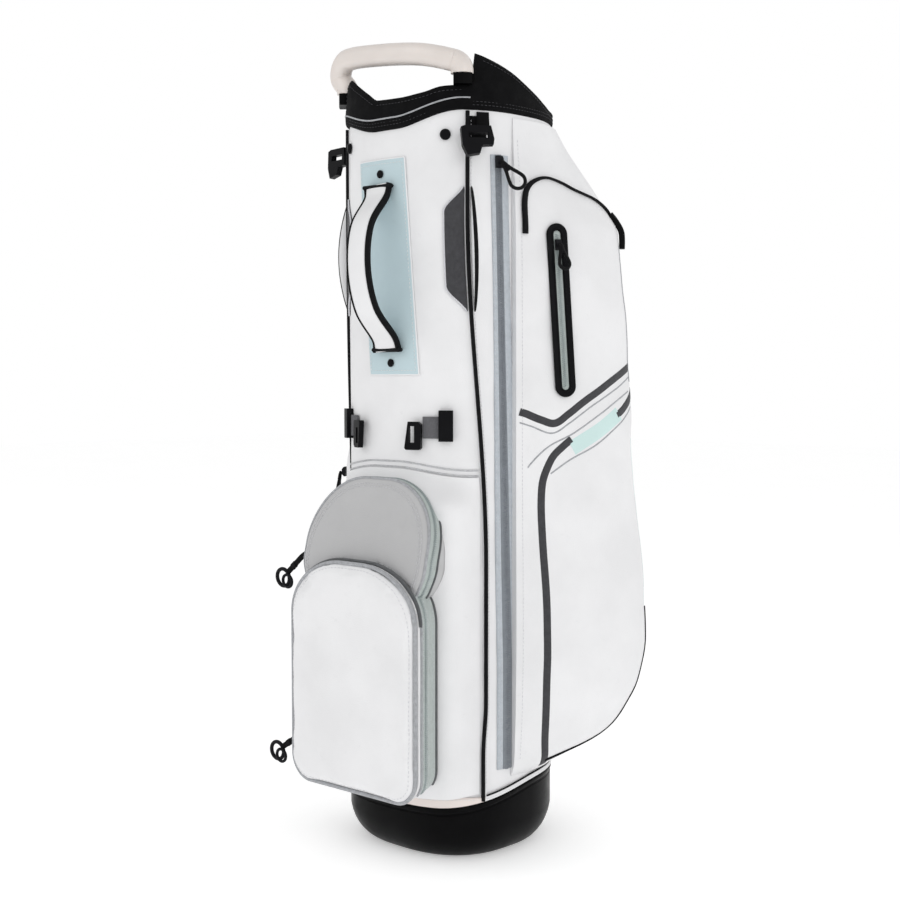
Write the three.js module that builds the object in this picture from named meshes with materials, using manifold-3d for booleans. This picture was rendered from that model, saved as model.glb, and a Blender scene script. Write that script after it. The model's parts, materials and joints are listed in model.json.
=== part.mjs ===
// A golf bag that stands on its moulded base: rounded-square tube, padded collar with a moulded
// top handle, two front pockets, a large side pocket, zips, clips and grips.
// Millimetres, +Z up, front of the bag towards -Y. The origin is the middle of the base's underside.
import * as THREE from 'three';
import { mergeVertices } from 'three/addons/utils/BufferGeometryUtils.js';
import Module from 'manifold-3d';

const wasm = await Module();
wasm.setup();

// ---------------------------------------------------------------- driving dimensions
const GAP = 0.4;                 // clearance between neighbouring pieces
const TUBE = 112;                // half width of the rounded-square tube, outside
const WALL = 3;                  // tube wall: fabric over its stiffener
const SQUARE_FRONT = 2.6;        // superellipse power of the section: 2 is round, more is squarer
const SQUARE_BACK = 2.05;
const LOOP = 72;                 // points round the tube

const BOOT_FRONT = 61.6;         // height of the moulded base at the front
const BOOT_BACK = 84;            // and round the sides and back
const BOOT_WALL = 4;
const COLLAR_FRONT = 813;        // lower edge of the collar at the front
const COLLAR_CORNER = 829;       // and at the corner seams
const RIM_FRONT = 848;           // upper edge of the collar at the front
const EAR_TOP = 887;             // the two ears beside the top handle
const EAR_ANGLE = 55;
const RIM_BACK = 843;
const HANDLE_TOP = 916;

const BELLY = 22;                // how far the lower front panel stands proud of the tube
const BELLY_TOP = 441;
const BELLY_FULL = 396;

const BALL_FRONT = 166;          // distance of the ball pocket's front edge from the tube axis
const BALL_HALF = 97;
const BALL_LOW = 82;
const BALL_HIGH = 338;
const BALL_WALL = 4;
const PANEL_FOOT = 78.4;         // lower edge of the front panel

const VALUABLES_FOOT = 159;      // distance of the valuables pocket's front from the axis at its foot
const VALUABLES_TOP = 129;       // and at its top
const VALUABLES_BACK = 90;
const VALUABLES_HALF = 93;
const VALUABLES_HIGH = 428;

const SIDE_POCKET_LOW = 92;
const SIDE_POCKET_HIGH = 824;
const SIDE_ZIP_TOP_ANGLE = 66;   // direction of the long zip from the front, towards +X
const SIDE_ZIP_LOW_ANGLE = 73.5;
const SIDE_ZIP_HIGH = 782;
const SIDE_ZIP_STRAIGHT = 222;   // it is straight down to this height
const SIDE_ZIP_LOW = 102;

const SLIDER_OFF = 3.4;          // the slider's straight run clears the curved tape

const STORM_ZIP_HIGH = 710;      // the welded zip on the side pocket's face
const STORM_ZIP_LOW = 518;
const STORM_ZIP_PLACE = 0.28;    // where its foot lies across the pocket's face, 0 front to 1 back
const STORM_ZIP_LEAN = 0.024;    // how much further forward its top lies

const LEFT_ZIP_PLACE = 0.2;
const LEFT_ZIP_HIGH = 426;

const PANEL_HALF = 36;           // coloured panel behind the grab handle
const PANEL_HIGH = 781;
const PANEL_LOW = 543;

// ---------------------------------------------------------------- colours and materials
const finish = (color, roughness, metalness = 0) => ({ color, roughness, metalness });
const WHITE_LEATHER = finish(0xe9e9ea, 0.55);
const GREY_LEATHER = finish(0xcfd0d2, 0.6);
const CREAM = finish(0xe9ddd6, 0.5);
const BLACK_FABRIC = finish(0x17171a, 0.85);
const BLACK_PLASTIC = finish(0x0f0f11, 0.5);
const CHARCOAL = finish(0x4a4a4f, 0.75);
const PALE_BLUE = finish(0xc2dde4, 0.6);
const ZIP_GREY = finish(0x9aa6b0, 0.6);
const WHITE_PLASTIC = finish(0xf1e9e4, 0.4);
const FOAM = finish(0x2c2c30, 0.95);
const LINING = finish(0x3a3c42, 0.9);
const FIBREGLASS = finish(0x8d8f8a, 0.4);

const model = new THREE.Group();

function add(name, geometry, look, parent = model) {
  const material = new THREE.MeshStandardMaterial(look);
  const mesh = new THREE.Mesh(geometry, material);
  mesh.name = name;
  parent.add(mesh);
  return mesh;
}

// ---------------------------------------------------------------- geometry helpers
const rad = THREE.MathUtils.degToRad;
const vec = (x, y, z) => new THREE.Vector3(x, y, z);
const range = (n) => Array.from({ length: n }, (_, i) => i);
const mix = THREE.MathUtils.lerp;
const ease = THREE.MathUtils.smoothstep;

// Value at x of the polyline through [x, y] pairs.
function along(table, x) {
  if (x <= table[0][0]) return table[0][1];
  for (let i = 1; i < table.length; i += 1) {
    const [x0, y0] = table[i - 1];
    const [x1, y1] = table[i];
    if (x <= x1) return mix(y0, y1, (x - x0) / (x1 - x0));
  }
  return table[table.length - 1][1];
}

// Distance of the tube's surface from its axis, in a direction measured from the front towards +X.
function reach(angle, half = TUBE) {
  const turn = Math.abs(((angle + 540) % 360) - 180);
  const power = mix(SQUARE_FRONT, SQUARE_BACK, ease(turn, 62, 118));
  const c = Math.abs(Math.cos(rad(angle)));
  const s = Math.abs(Math.sin(rad(angle)));
  return half / (c ** power + s ** power) ** (1 / power);
}

// Point on the tube, standing off it by a distance.
function onTube(angle, z, off = 0, half = TUBE) {
  const r = reach(angle, half) + off;
  return vec(r * Math.sin(rad(angle)), -r * Math.cos(rad(angle)), z);
}

const loopAngles = range(LOOP).map((i) => (360 * i) / LOOP - 180);

function tubeLoop(half, z) {
  return loopAngles.map((a) => onTube(a, typeof z === 'function' ? z(a) : z, 0, half));
}

function capTriangles(ring) {
  const normal = vec(0, 0, 0);
  ring.forEach((p, i) => {
    const q = ring[(i + 1) % ring.length];
    normal.x += (p.y - q.y) * (p.z + q.z);
    normal.y += (p.z - q.z) * (p.x + q.x);
    normal.z += (p.x - q.x) * (p.y + q.y);
  });
  normal.normalize();
  const u = Math.abs(normal.z) > 0.9 ? vec(1, 0, 0) : vec(0, 0, 1);
  u.addScaledVector(normal, -u.dot(normal)).normalize();
  const w = normal.clone().cross(u);
  const flat = ring.map((p) => new THREE.Vector2(p.dot(u), p.dot(w)));
  return THREE.ShapeUtils.triangulateShape(flat, []);
}

// Closed solid through a row of rings with the same number of points. A row that closes on itself
// is a hollow body; otherwise the first and last rings are capped.
function loft(rings, closes = false) {
  const n = rings[0].length;
  const points = rings.flat();
  const index = [];
  const bands = closes ? rings.length : rings.length - 1;
  for (let i = 0; i < bands; i += 1) {
    const a = i * n;
    const b = ((i + 1) % rings.length) * n;
    for (let j = 0; j < n; j += 1) {
      const k = (j + 1) % n;
      index.push(a + j, a + k, b + k, a + j, b + k, b + j);
    }
  }
  if (!closes) {
    const last = (rings.length - 1) * n;
    capTriangles(rings[0]).forEach(([p, q, r]) => index.push(r, q, p));
    const top = capTriangles(rings[rings.length - 1]);
    top.forEach(([p, q, r]) => index.push(last + p, last + q, last + r));
  }
  let volume = 0;
  for (let i = 0; i < index.length; i += 3) {
    const [a, b, c] = [points[index[i]], points[index[i + 1]], points[index[i + 2]]];
    volume += a.dot(b.clone().cross(c));
  }
  if (volume < 0) index.reverse();
  const geometry = new THREE.BufferGeometry();
  const numbers = points.flatMap((p) => [p.x, p.y, p.z]);
  geometry.setAttribute('position', new THREE.Float32BufferAttribute(numbers, 3));
  geometry.setIndex(index);
  return geometry;
}

// Plate that follows the tube: between two directions, two heights and two stand-off distances.
function tubePlate(from, to, low, high, inner, outer, steps) {
  const value = (v, a) => (typeof v === 'function' ? v(a) : v);
  return loft(range(steps + 1).map((i) => {
    const a = mix(from, to, i / steps);
    const z0 = value(low, a);
    const z1 = value(high, a);
    return [
      onTube(a, z0, value(inner, a)), onTube(a, z0, value(outer, a)),
      onTube(a, z1, value(outer, a)), onTube(a, z1, value(inner, a)),
    ];
  }));
}

// Section swept along points. outward gives the direction that the section's second axis leans to.
function sweep(points, section, outward) {
  return loft(points.map((p, i) => {
    const before = points[Math.max(i - 1, 0)];
    const after = points[Math.min(i + 1, points.length - 1)];
    const ahead = after.clone().sub(before).normalize();
    const up = outward(p, i).clone();
    up.addScaledVector(ahead, -up.dot(ahead)).normalize();
    const side = ahead.clone().cross(up);
    const ring = typeof section === 'function' ? section(i / (points.length - 1)) : section;
    return ring.map(([a, b]) => p.clone().addScaledVector(side, a).addScaledVector(up, b));
  }));
}

const roundSection = (ra, rb, sides) => range(sides).map((i) => {
  const t = (2 * Math.PI * i) / sides;
  return [ra * Math.cos(t), rb * Math.sin(t)];
});

// Flat strap section with its edges rounded off.
const strapSection = (width, thick) => {
  const w = width / 2;
  const t = thick / 2;
  const c = t * 0.6;
  return [
    [-w, -t + c], [-w + c, -t], [w - c, -t], [w, -t + c],
    [w, t - c], [w - c, t], [-w + c, t], [-w, t - c],
  ];
};

const curve = (points) => new THREE.CatmullRomCurve3(points, false, 'centripetal');
const smooth = (points, count) => curve(points).getPoints(count);
const radial = (p) => vec(p.x, p.y, 0).normalize();

function toSolid(geometry) {
  const plain = geometry.clone();
  plain.deleteAttribute('normal');
  plain.deleteAttribute('uv');
  const merged = mergeVertices(plain, 1e-4);
  return new wasm.Manifold(new wasm.Mesh({
    numProp: 3,
    vertProperties: new Float32Array(merged.attributes.position.array),
    triVerts: new Uint32Array(merged.index.array),
  }));
}

function fromSolid(solid) {
  const mesh = solid.getMesh();
  const geometry = new THREE.BufferGeometry();
  const numbers = new Float32Array(mesh.vertProperties);
  geometry.setAttribute('position', new THREE.BufferAttribute(numbers, 3));
  geometry.setIndex(new THREE.BufferAttribute(new Uint32Array(mesh.triVerts), 1));
  return geometry;
}

// Puts a geometry drawn in X (across), Y (up) and Z (outward) onto a place with its own directions.
function placed(geometry, origin, up, out) {
  const z = out.clone().normalize();
  const y = up.clone().addScaledVector(z, -up.dot(z)).normalize();
  const x = y.clone().cross(z);
  const matrix = new THREE.Matrix4().makeBasis(x, y, z).setPosition(origin);
  return geometry.clone().applyMatrix4(matrix);
}

// Low dome on a cylinder, standing on Z = 0.
function stud(radius, height, sides) {
  const profile = [[0, 0], [1, 0], [1, 0.5], [0.7, 0.9], [0, 1]];
  const points = profile.map(([x, y]) => new THREE.Vector2(radius * x, height * y));
  return new THREE.LatheGeometry(points, sides).rotateX(Math.PI / 2);
}

const UP = vec(0, 0, 1);
const DOWN = vec(0, 0, -1);
const SIDES = [['right', 1], ['left', -1]];

// ---------------------------------------------------------------- base, tube and what is inside
const BOOT_HALF = 114;
const bootTop = (a) => mix(BOOT_FRONT, BOOT_BACK, ease(Math.abs(a), 30, 108));
const hemTop = (a) => bootTop(a) + mix(12, 6, ease(Math.abs(a), 40, 60));

function base() {
  const outside = [[0, 90], [6, 98], [16, 106], [38, 113.4], [bootTop, BOOT_HALF]];
  const inside = [[bootTop, BOOT_HALF - BOOT_WALL], [38, 109], [17, 101.5], [14, 98.5], [6, 93.5]];
  add('base_boot', loft([...outside, ...inside].map(([z, half]) => tubeLoop(half, z))), BLACK_PLASTIC);
  add('base_pad', loft([[6.4, 92], [14.5, 92]].map(([z, half]) => tubeLoop(half, z))), FOAM);
}

// Heights of the collar's lower and upper edges in a direction.
const collarLow = (a) => mix(COLLAR_FRONT, COLLAR_CORNER, ease(Math.abs(a), 8, 46));
// The rim sweeps up to the handle's left foot; on the right it dips and the ear stands behind the foot.
const collarHigh = (a) => along([
  [-180, RIM_BACK], [-115, 848], [-90, 857], [-75, 870], [-60, EAR_TOP - 3], [-EAR_ANGLE, EAR_TOP],
  [-50, RIM_FRONT + 3], [-40, RIM_FRONT + 5], [-35, EAR_TOP - 9], [-25, 868], [-15, 856], [-7, RIM_FRONT - 1],
  [10, RIM_FRONT - 2], [25, RIM_FRONT + 1], [35, RIM_FRONT + 6], [50, RIM_FRONT + 6], [EAR_ANGLE, EAR_TOP],
  [60, EAR_TOP - 3], [75, 873], [85, 864], [95, 855], [105, 847], [115, 843], [180, RIM_BACK],
], a);

function tube() {
  const top = (a) => collarLow(a) - GAP;
  const foot = (a) => bootTop(a) + GAP;
  add('body_shell', loft([
    tubeLoop(TUBE, foot), tubeLoop(TUBE, top), tubeLoop(TUBE - WALL, top), tubeLoop(TUBE - WALL, foot),
  ], true), WHITE_LEATHER);
  const hemOut = TUBE + 2.8;
  add('hem_band', loft([
    tubeLoop(TUBE + GAP, foot), tubeLoop(hemOut, foot),
    tubeLoop(hemOut, hemTop), tubeLoop(TUBE + GAP, hemTop),
  ], true), CREAM);
  const stays = [['left', -78], ['right', 78], ['back', 180]];
  stays.forEach(([name, angle]) => {
    const ends = [31, 768].map((z) => onTube(angle, z, 0, TUBE - WALL - 6));
    add(`stay_${name}`, sweep(ends, roundSection(2.5, 2.5, 8), radial), FIBREGLASS);
  });
}

const CROSS_BAR_Y = -14;         // bar that parts the front cells from the rear ones
const REAR_BAR_X = 35;           // the two bars between the rear cells
const BAR = 5;
const DIVIDER_TOP = 834;
const DIVIDER_LOW = 770;
const BAR_LOW = 798;
const CELL_FLOOR = 16;

function bars(thick, low, high, outer) {
  const block = (width, x, from, to) => (
    new THREE.BoxGeometry(width, to - from, high - low).translate(x, (from + to) / 2, (low + high) / 2));
  const behind = CROSS_BAR_Y + thick;
  return [
    ['cross', block(2 * outer, 0, CROSS_BAR_Y - thick / 2, CROSS_BAR_Y + thick / 2)],
    ['front', block(thick, 0, -outer, CROSS_BAR_Y - thick)],
    ['rear_left', block(thick, -REAR_BAR_X, behind, outer)],
    ['rear_right', block(thick, REAR_BAR_X, behind, outer)],
  ];
}

function dividers() {
  const outer = TUBE - WALL - GAP;
  const inner = outer - 5;
  let frame = toSolid(loft([
    tubeLoop(outer, DIVIDER_LOW), tubeLoop(outer, DIVIDER_TOP),
    tubeLoop(inner, DIVIDER_TOP), tubeLoop(inner, DIVIDER_LOW),
  ], true));
  const coreHalf = outer - 2;
  const core = toSolid(loft([tubeLoop(coreHalf, BAR_LOW), tubeLoop(coreHalf, DIVIDER_TOP - 2)]));
  const solidBar = ([, geometry]) => toSolid(geometry).intersect(core);
  const [cross, ...others] = bars(BAR, BAR_LOW, DIVIDER_TOP - 2, outer).map(solidBar);
  frame = frame.add(cross);
  // The other bars run up to the cross bar and are joined to it.
  others.forEach((bar, i) => {
    const stretch = i === 0 ? vec(0, BAR, 0) : vec(0, -BAR, 0);
    frame = frame.add(bar).add(bar.translate(stretch.toArray()).intersect(core));
  });
  add('divider_top', fromSolid(frame), BLACK_PLASTIC);
  const sheetHalf = TUBE - WALL - 9;
  const space = toSolid(loft([tubeLoop(sheetHalf, CELL_FLOOR), tubeLoop(sheetHalf, BAR_LOW - 1)]));
  bars(1.6, CELL_FLOOR, BAR_LOW - 1, outer).forEach(([name, geometry]) => {
    add(`divider_sheet_${name}`, fromSolid(toSolid(geometry).intersect(space)), LINING);
  });
}

// ---------------------------------------------------------------- collar and top handle
const MOUNT_ANGLE = 45.5;
const MOUNT_TOP = 866;
const HANDLE_THICK = 24;

function collar() {
  const between = (t) => (a) => mix(collarLow(a), collarHigh(a), t);
  // The padding is thinner round the back.
  const padded = (thick, z) => loopAngles.map((a) => {
    const half = TUBE + mix(thick, 0.6, ease(Math.abs(a), 70, 120));
    return onTube(a, z(a), 0, half);
  });
  add('collar', loft([
    padded(2.5, collarLow), padded(4.5, between(0.3)), padded(4, between(0.75)), padded(2, collarHigh),
    tubeLoop(TUBE - 1.2, collarHigh), tubeLoop(TUBE - 2.4, collarLow),
  ], true), BLACK_FABRIC);
}

// The handle rises higher over the left foot than over the right one.
function topHandle() {
  const [left, right] = [-1, 1].map((side) => onTube(side * MOUNT_ANGLE, MOUNT_TOP + GAP, 2));
  const high = HANDLE_TOP - HANDLE_THICK / 2;
  const path = smooth([
    left.clone().addScaledVector(UP, 7), vec(-98, -87, high - 19), vec(-95, -89, high - 8),
    vec(-85, -91.5, high - 1), vec(-70, -94, high), vec(-39, -98, high - 2.5), vec(11, -101, high - 8),
    vec(41, -100, high - 12.5), vec(64, -97, high - 18), vec(77, -94, high - 22),
  ], 22);
  path.unshift(left);
  // Short bend down onto the right foot.
  const rise = 3;
  const bend = high - 22 - right.z - rise;
  [25, 50, 75, 90].forEach((turn) => {
    const t = rad(turn);
    const y = mix(-93, right.y, Math.sin(t));
    path.push(vec(right.x - bend + bend * Math.sin(t), y, right.z + rise + bend * Math.cos(t)));
  });
  path.push(right);
  const section = roundSection(HANDLE_THICK / 2, 11, 10);
  add('top_handle', sweep(path, section, () => vec(0, -1, 0.001)), WHITE_PLASTIC);
  SIDES.forEach(([name, side]) => {
    const a = side * MOUNT_ANGLE;
    const bottom = (angle) => collarHigh(angle) + GAP;
    const block = tubePlate(a - 4.4, a + 4.4, bottom, MOUNT_TOP, -8.5, 12, 4);
    add(`handle_mount_${name}`, block, BLACK_PLASTIC);
  });
}

// ---------------------------------------------------------------- seams, grips and snaps
// Direction of the corner seam at a height: it wanders outwards towards the base.
const seamAngle = (z) => mix(48.2, 58.3, ease(720 - z, 0, 390)) - 1.5 * ease(180 - z, 0, 60);

const GRIP_LOW = 612;
const GRIP_HIGH = 738;

function cornerSeams() {
  SIDES.forEach(([name, side]) => {
    const heights = range(25).map((i) => mix(PANEL_FOOT, COLLAR_CORNER - 2, i / 24));
    const path = heights.map((z) => onTube(side * seamAngle(z), z, 2.6));
    add(`corner_piping_${name}`, sweep(path, roundSection(2.2, 2.2, 8), radial), BLACK_FABRIC);

    // Leaf-shaped patch in front of the seam and the crescent grip that stands up behind it.
    const leafHeights = range(13).map((i) => mix(GRIP_LOW, GRIP_HIGH + 8, i / 12));
    add(`grip_patch_${name}`, loft(leafHeights.map((z, i) => {
      const width = 0.5 + 10 * Math.sin((Math.PI * i) / 12) ** 0.6;
      const near = seamAngle(z) - 1.6;
      const across = range(4).map((j) => near - (width * j) / 3);
      return [
        ...across.map((a) => onTube(side * a, z, 0.6)),
        ...across.reverse().map((a) => onTube(side * a, z, 3)),
      ];
    })), CHARCOAL);
    add(`side_grip_${name}`, loft(leafHeights.map((z, i) => {
      const swell = Math.sin((Math.PI * i) / 12) ** 0.8;
      const near = seamAngle(z) + 1.7;
      const far = near + 0.8 + 2.2 * swell;
      const rise = 2 + 13 * swell;
      return [[near, 0.4], [near, rise], [far, rise], [far, 0.4]].map(([a, off]) => onTube(side * a, z, off));
    })), WHITE_LEATHER);

    const snap = onTube(side * 37, 802, GAP);
    add(`hood_snap_${name}`, placed(stud(6, 4.5, 16), snap, UP, radial(snap)), BLACK_PLASTIC);
  });
}

// ---------------------------------------------------------------- coloured panel and grab handle
const PANEL_THICK = 2;
const HANDLE_HIGH = 752;
const HANDLE_LOW = 569;

// The panel and its handle lean a little towards -X as they rise.
const leanAt = (z) => 0.075 * ((PANEL_HIGH + PANEL_LOW) / 2 - z);

function grabHandle() {
  const edge = THREE.MathUtils.radToDeg(Math.atan(PANEL_HALF / TUBE));
  add('handle_panel', loft(range(5).map((row) => {
    const z = mix(PANEL_LOW, PANEL_HIGH, row / 4);
    const middle = THREE.MathUtils.radToDeg(leanAt(z) / TUBE);
    const across = range(9).map((i) => middle + mix(-edge, edge, i / 8));
    return [
      ...across.map((a) => onTube(a, z, 0.8)),
      ...across.reverse().map((a) => onTube(a, z, GAP + PANEL_THICK)),
    ];
  })), PALE_BLUE);
  const face = -(TUBE + 2 * GAP + PANEL_THICK);
  const path = smooth([
    [face - 5, HANDLE_HIGH], [face - 7, HANDLE_HIGH - 12], [-148, 706], [-157, 660],
    [-148, 614], [face - 7, HANDLE_LOW + 12], [face - 5, HANDLE_LOW],
  ].map(([y, z]) => vec(leanAt(z), y, z)), 24);
  const section = (t) => strapSection(mix(40, 33, Math.sin(Math.PI * t)), 10);
  add('grab_handle', sweep(path, section, () => vec(0, -1, 0)), WHITE_LEATHER);
  [['upper', 765], ['lower', 556]].forEach(([name, z]) => {
    const rivet = placed(stud(4.5, 2.6, 12), vec(leanAt(z), face, z), UP, vec(0, -1, 0));
    add(`handle_rivet_${name}`, rivet, BLACK_PLASTIC);
  });
}

// ---------------------------------------------------------------- strap clips
const UPPER_CLIP_ANGLE = 56;
const UPPER_HINGES = { right: [52, 13, 0, 14], left: [-58.5, 18.5, 48, 4] };
const UPPER_HINGE_HEIGHT = 807;
const LOWER_CLIP_HEIGHT = 487;
const LOWER_BUCKLE_ANGLE = 24.5;

function platePoints(points, thick, slot) {
  const shape = new THREE.Shape(points.map(([x, y]) => new THREE.Vector2(x, y)));
  shape.holes.push(new THREE.Path(slot.map(([x, y]) => new THREE.Vector2(x, y))));
  return new THREE.ExtrudeGeometry(shape, { depth: thick, bevelEnabled: false }).translate(0, 0, -thick / 2);
}

// Upper buckle, drawn below its hinge line: a ladder bar on the webbing with a nose beside it.
function ladderBuckle() {
  const outline = [
    [-18, 0], [-17, -20], [-12, -32], [2, -29], [5, -20], [17, -19], [18, -13], [15, 2], [-13, 2],
  ];
  return platePoints(outline, 7, [[-10, -6], [12, -6], [12, -12], [-10, -12]]);
}

// Lower buckle, drawn hanging from its hinge line: a plate with a slot and a narrower end.
function endBuckle(width, length, thick) {
  const w = width / 2;
  const high = -length * 0.4;
  const slot = [[-w + 5, high], [w - 8, high], [w - 8, high - 6], [-w + 5, high - 6]];
  const outline = [
    [-w, -3], [-w, -length + 4], [w - 2, -length], [w, -length + 2], [w, -2], [w - 2, 0], [-w + 3, 0],
  ];
  return platePoints(outline, thick, slot);
}

function clips() {
  SIDES.forEach(([name, side]) => {
    // Upper clip: webbing from under the collar, with a buckle that leans out from the corner.
    const webAngle = side * UPPER_CLIP_ANGLE;
    const web = [[826, 3], [818, 4], [810.5, 6]].map(([z, off]) => onTube(webAngle, z, off));
    add(`upper_clip_web_${name}`, sweep(web, strapSection(14, 2.4), radial), BLACK_FABRIC);
    // The left buckle is turned outwards on its webbing.
    const [hingeAngle, hingeOff, twist, lean] = UPPER_HINGES[name];
    const hinge = onTube(hingeAngle, UPPER_HINGE_HEIGHT, hingeOff);
    const out = radial(hinge).applyAxisAngle(UP, rad(twist));
    const tilt = rad(lean);
    const hang = DOWN.clone().multiplyScalar(Math.cos(tilt)).addScaledVector(out, Math.sin(tilt));
    const face = out.clone().multiplyScalar(Math.cos(tilt)).addScaledVector(UP, Math.sin(tilt));
    const upperBuckle = placed(ladderBuckle(), hinge, hang.clone().negate(), face);
    add(`upper_clip_buckle_${name}`, upperBuckle, BLACK_PLASTIC);

    // Lower clip: anchor plate by the seam, webbing across, buckle at its end.
    const anchor = side * 37.4;
    const middle = side * 29.2;
    const z = LOWER_CLIP_HEIGHT;
    add(`lower_clip_anchor_${name}`,
      tubePlate(anchor - 3.6, anchor + 3.6, z - 17, z + 17, GAP, 8, 4), BLACK_PLASTIC);
    const half = side * 4.3;
    const band = tubePlate(middle - half, middle + half, z - 14, z + 10, GAP + 1, 3.4, 4);
    add(`lower_clip_web_${name}`, band, BLACK_FABRIC);
    const end = side * LOWER_BUCKLE_ANGLE;
    const pivot = onTube(end, z - 11, 5.4);
    const across = onTube(end - side * 8, z - 11, 5.4).sub(pivot).normalize();
    add(`lower_clip_buckle_${name}`,
      placed(endBuckle(31, 19, 6), pivot, across.clone().negate(), radial(pivot)), BLACK_PLASTIC);
  });
}

// ---------------------------------------------------------------- lower front panel and front pockets
function bellyRise(a, z) {
  const across = 1 - ease(Math.abs(a), 36, seamAngle(300) - 1);
  const upright = 1 - ease(z, BELLY_FULL, BELLY_TOP);
  return 2.2 + BELLY * across * Math.max(upright, 0);
}

function belly(extra = 0, inner = GAP) {
  const edge = seamAngle(PANEL_FOOT) - 2;
  const heights = [PANEL_FOOT, 100, 380, BELLY_FULL, 410, 420, 430, BELLY_TOP];
  return loft(heights.map((z) => {
    const limit = Math.min(edge, seamAngle(z) - 2);
    const angles = range(21).map((i) => mix(-limit, limit, i / 20));
    const outside = angles.map((a) => onTube(a, z, bellyRise(a, z) + extra));
    const inside = angles.map((a) => onTube(a, z, inner)).reverse();
    return [...outside, ...inside];
  }));
}

// Arch outline in X and Z: straight sides, a rounded foot and a wide rounded top.
function archOutline(half, low, high, foot, crown) {
  const top = [];
  const arc = (cx, cz, rx, rz, from, to, steps) => {
    for (let i = 0; i <= steps; i += 1) {
      const t = rad(mix(from, to, i / steps));
      top.push([cx + rx * Math.cos(t), cz + rz * Math.sin(t)]);
    }
  };
  const flat = half * 0.16;
  arc(half - foot, low + foot, foot, foot, -90, 0, 3);
  arc(flat, high - crown, half - flat, crown, 0, 90, 8);
  arc(-flat, high - crown, half - flat, crown, 90, 180, 8);
  arc(-half + foot, low + foot, foot, foot, 180, 270, 3);
  return top;
}

const ballOutline = (inset) => (
  archOutline(BALL_HALF - inset, BALL_LOW + inset, BALL_HIGH - inset, 30 - inset, 62));
const atDepth = (outline, y) => outline.map(([x, z]) => vec(x, -y, z));
const BALL_TAPER = 27;           // the pocket is narrower where it meets the bag
const BALL_RISE = 8;             // and its top and bottom draw in by this much

// The valuables pocket is a wedge: its front leans out towards the foot. part runs from 0 at the back
// to 1 at the front.
function valuablesDepth(z, part) {
  const front = mix(VALUABLES_FOOT, VALUABLES_TOP, ease(z, 310, VALUABLES_HIGH + 20));
  return mix(VALUABLES_BACK, front, part);
}

function frontPockets() {
  const panel = belly();
  add('front_lower_panel', panel, WHITE_LEATHER);
  const tubeSpace = toSolid(loft([tubeLoop(TUBE + GAP, 60), tubeLoop(TUBE + GAP, 470)]));
  const keepClear = toSolid(belly(GAP, -6)).add(tubeSpace);

  // Ball pocket: side walls from the bag to the front edge, and the front that folds down.
  const wallBack = 96;
  const backOutline = (inset) => archOutline(BALL_HALF - BALL_TAPER - inset, BALL_LOW + BALL_RISE + inset,
    BALL_HIGH - BALL_RISE - inset, 22 - inset, 62);
  const walls = [
    atDepth(backOutline(0), wallBack), atDepth(ballOutline(0), BALL_FRONT),
    atDepth(ballOutline(BALL_WALL), BALL_FRONT), atDepth(backOutline(BALL_WALL), wallBack),
  ];
  const gusset = toSolid(loft(walls, true)).subtract(keepClear);
  add('ball_pocket_gusset', fromSolid(gusset), WHITE_LEATHER);
  const flap = [[GAP, 0], [5, -1], [8, 4], [11.5, 22]];
  const flapRows = flap.map(([depth, inset]) => atDepth(ballOutline(inset), BALL_FRONT + depth));
  add('ball_pocket_flap', loft(flapRows), WHITE_LEATHER);

  // Valuables pocket above it, ending where the ball pocket's arch begins.
  const outline = (inset) => archOutline(VALUABLES_HALF - inset, 290, VALUABLES_HIGH - inset, 20, 74);
  const narrow = (z) => mix(0.76, 1, ease(z, 275, 335));
  const wedge = (inset, part) => (
    outline(inset).map(([x, z]) => vec(x * narrow(z), -valuablesDepth(z, part), z)));
  const block = toSolid(loft([wedge(9, 0), wedge(0, 0.93), wedge(4, 1)]));
  const pastFront = BALL_FRONT + 10;
  const ballSpace = toSolid(loft([
    atDepth(backOutline(-1.5), wallBack), atDepth(ballOutline(-1.5), BALL_FRONT),
    atDepth(ballOutline(-1.5), pastFront),
  ]));
  add('valuables_pocket', fromSolid(block.subtract(keepClear).subtract(ballSpace)), GREY_LEATHER);
}

// ---------------------------------------------------------------- side pocket
// Outer line of a full pocket across its face, front to back, in X and Y.
const pocketLine = (points) => curve(points.map(([x, y]) => vec(x, y, 0)));
const SIDE_LINE = pocketLine([
  [119, -31], [129, -20], [145, 0], [160, 28], [171, 62],
  [176, 92], [174, 112], [160, 122], [133, 119], [108, 104],
]);
const LEFT_LINE = pocketLine([
  [108, -62], [123, -57], [137, -32], [145, 5], [147, 45], [143, 78], [129, 101], [107, 106],
]);

// How much of its full depth the pocket has at a height.
const POCKET_DEPTH = [
  [SIDE_POCKET_LOW, 0.03], [97, 0.36], [104, 0.7], [116, 0.89], [138, 1], [175, 1.14], [240, 1.2],
  [458, 1.01], [500, 1], [706, 0.82], [730, 0.68], [752, 0.54], [776, 0.37], [802, 0.18],
  [SIDE_POCKET_HIGH, 0.05],
];
const LEFT_DEPTH = [
  [92, 0.03], [97, 0.2], [104, 0.45], [122, 0.75], [150, 0.95], [190, 1],
  [432, 1], [452, 0.82], [464, 0.5], [470, 0.15],
];
const FOOT_LIFT = 46;            // how much higher the foot of a pocket is at its rear edge
const LEVEL_FOOT = 0.22;         // the part of the pocket's width, from the front, where its foot is level
const SIDE_POCKET = { line: SIDE_LINE, depth: POCKET_DEPTH, side: 1 };
const LEFT_POCKET = { line: LEFT_LINE, depth: LEFT_DEPTH, side: -1 };

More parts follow.
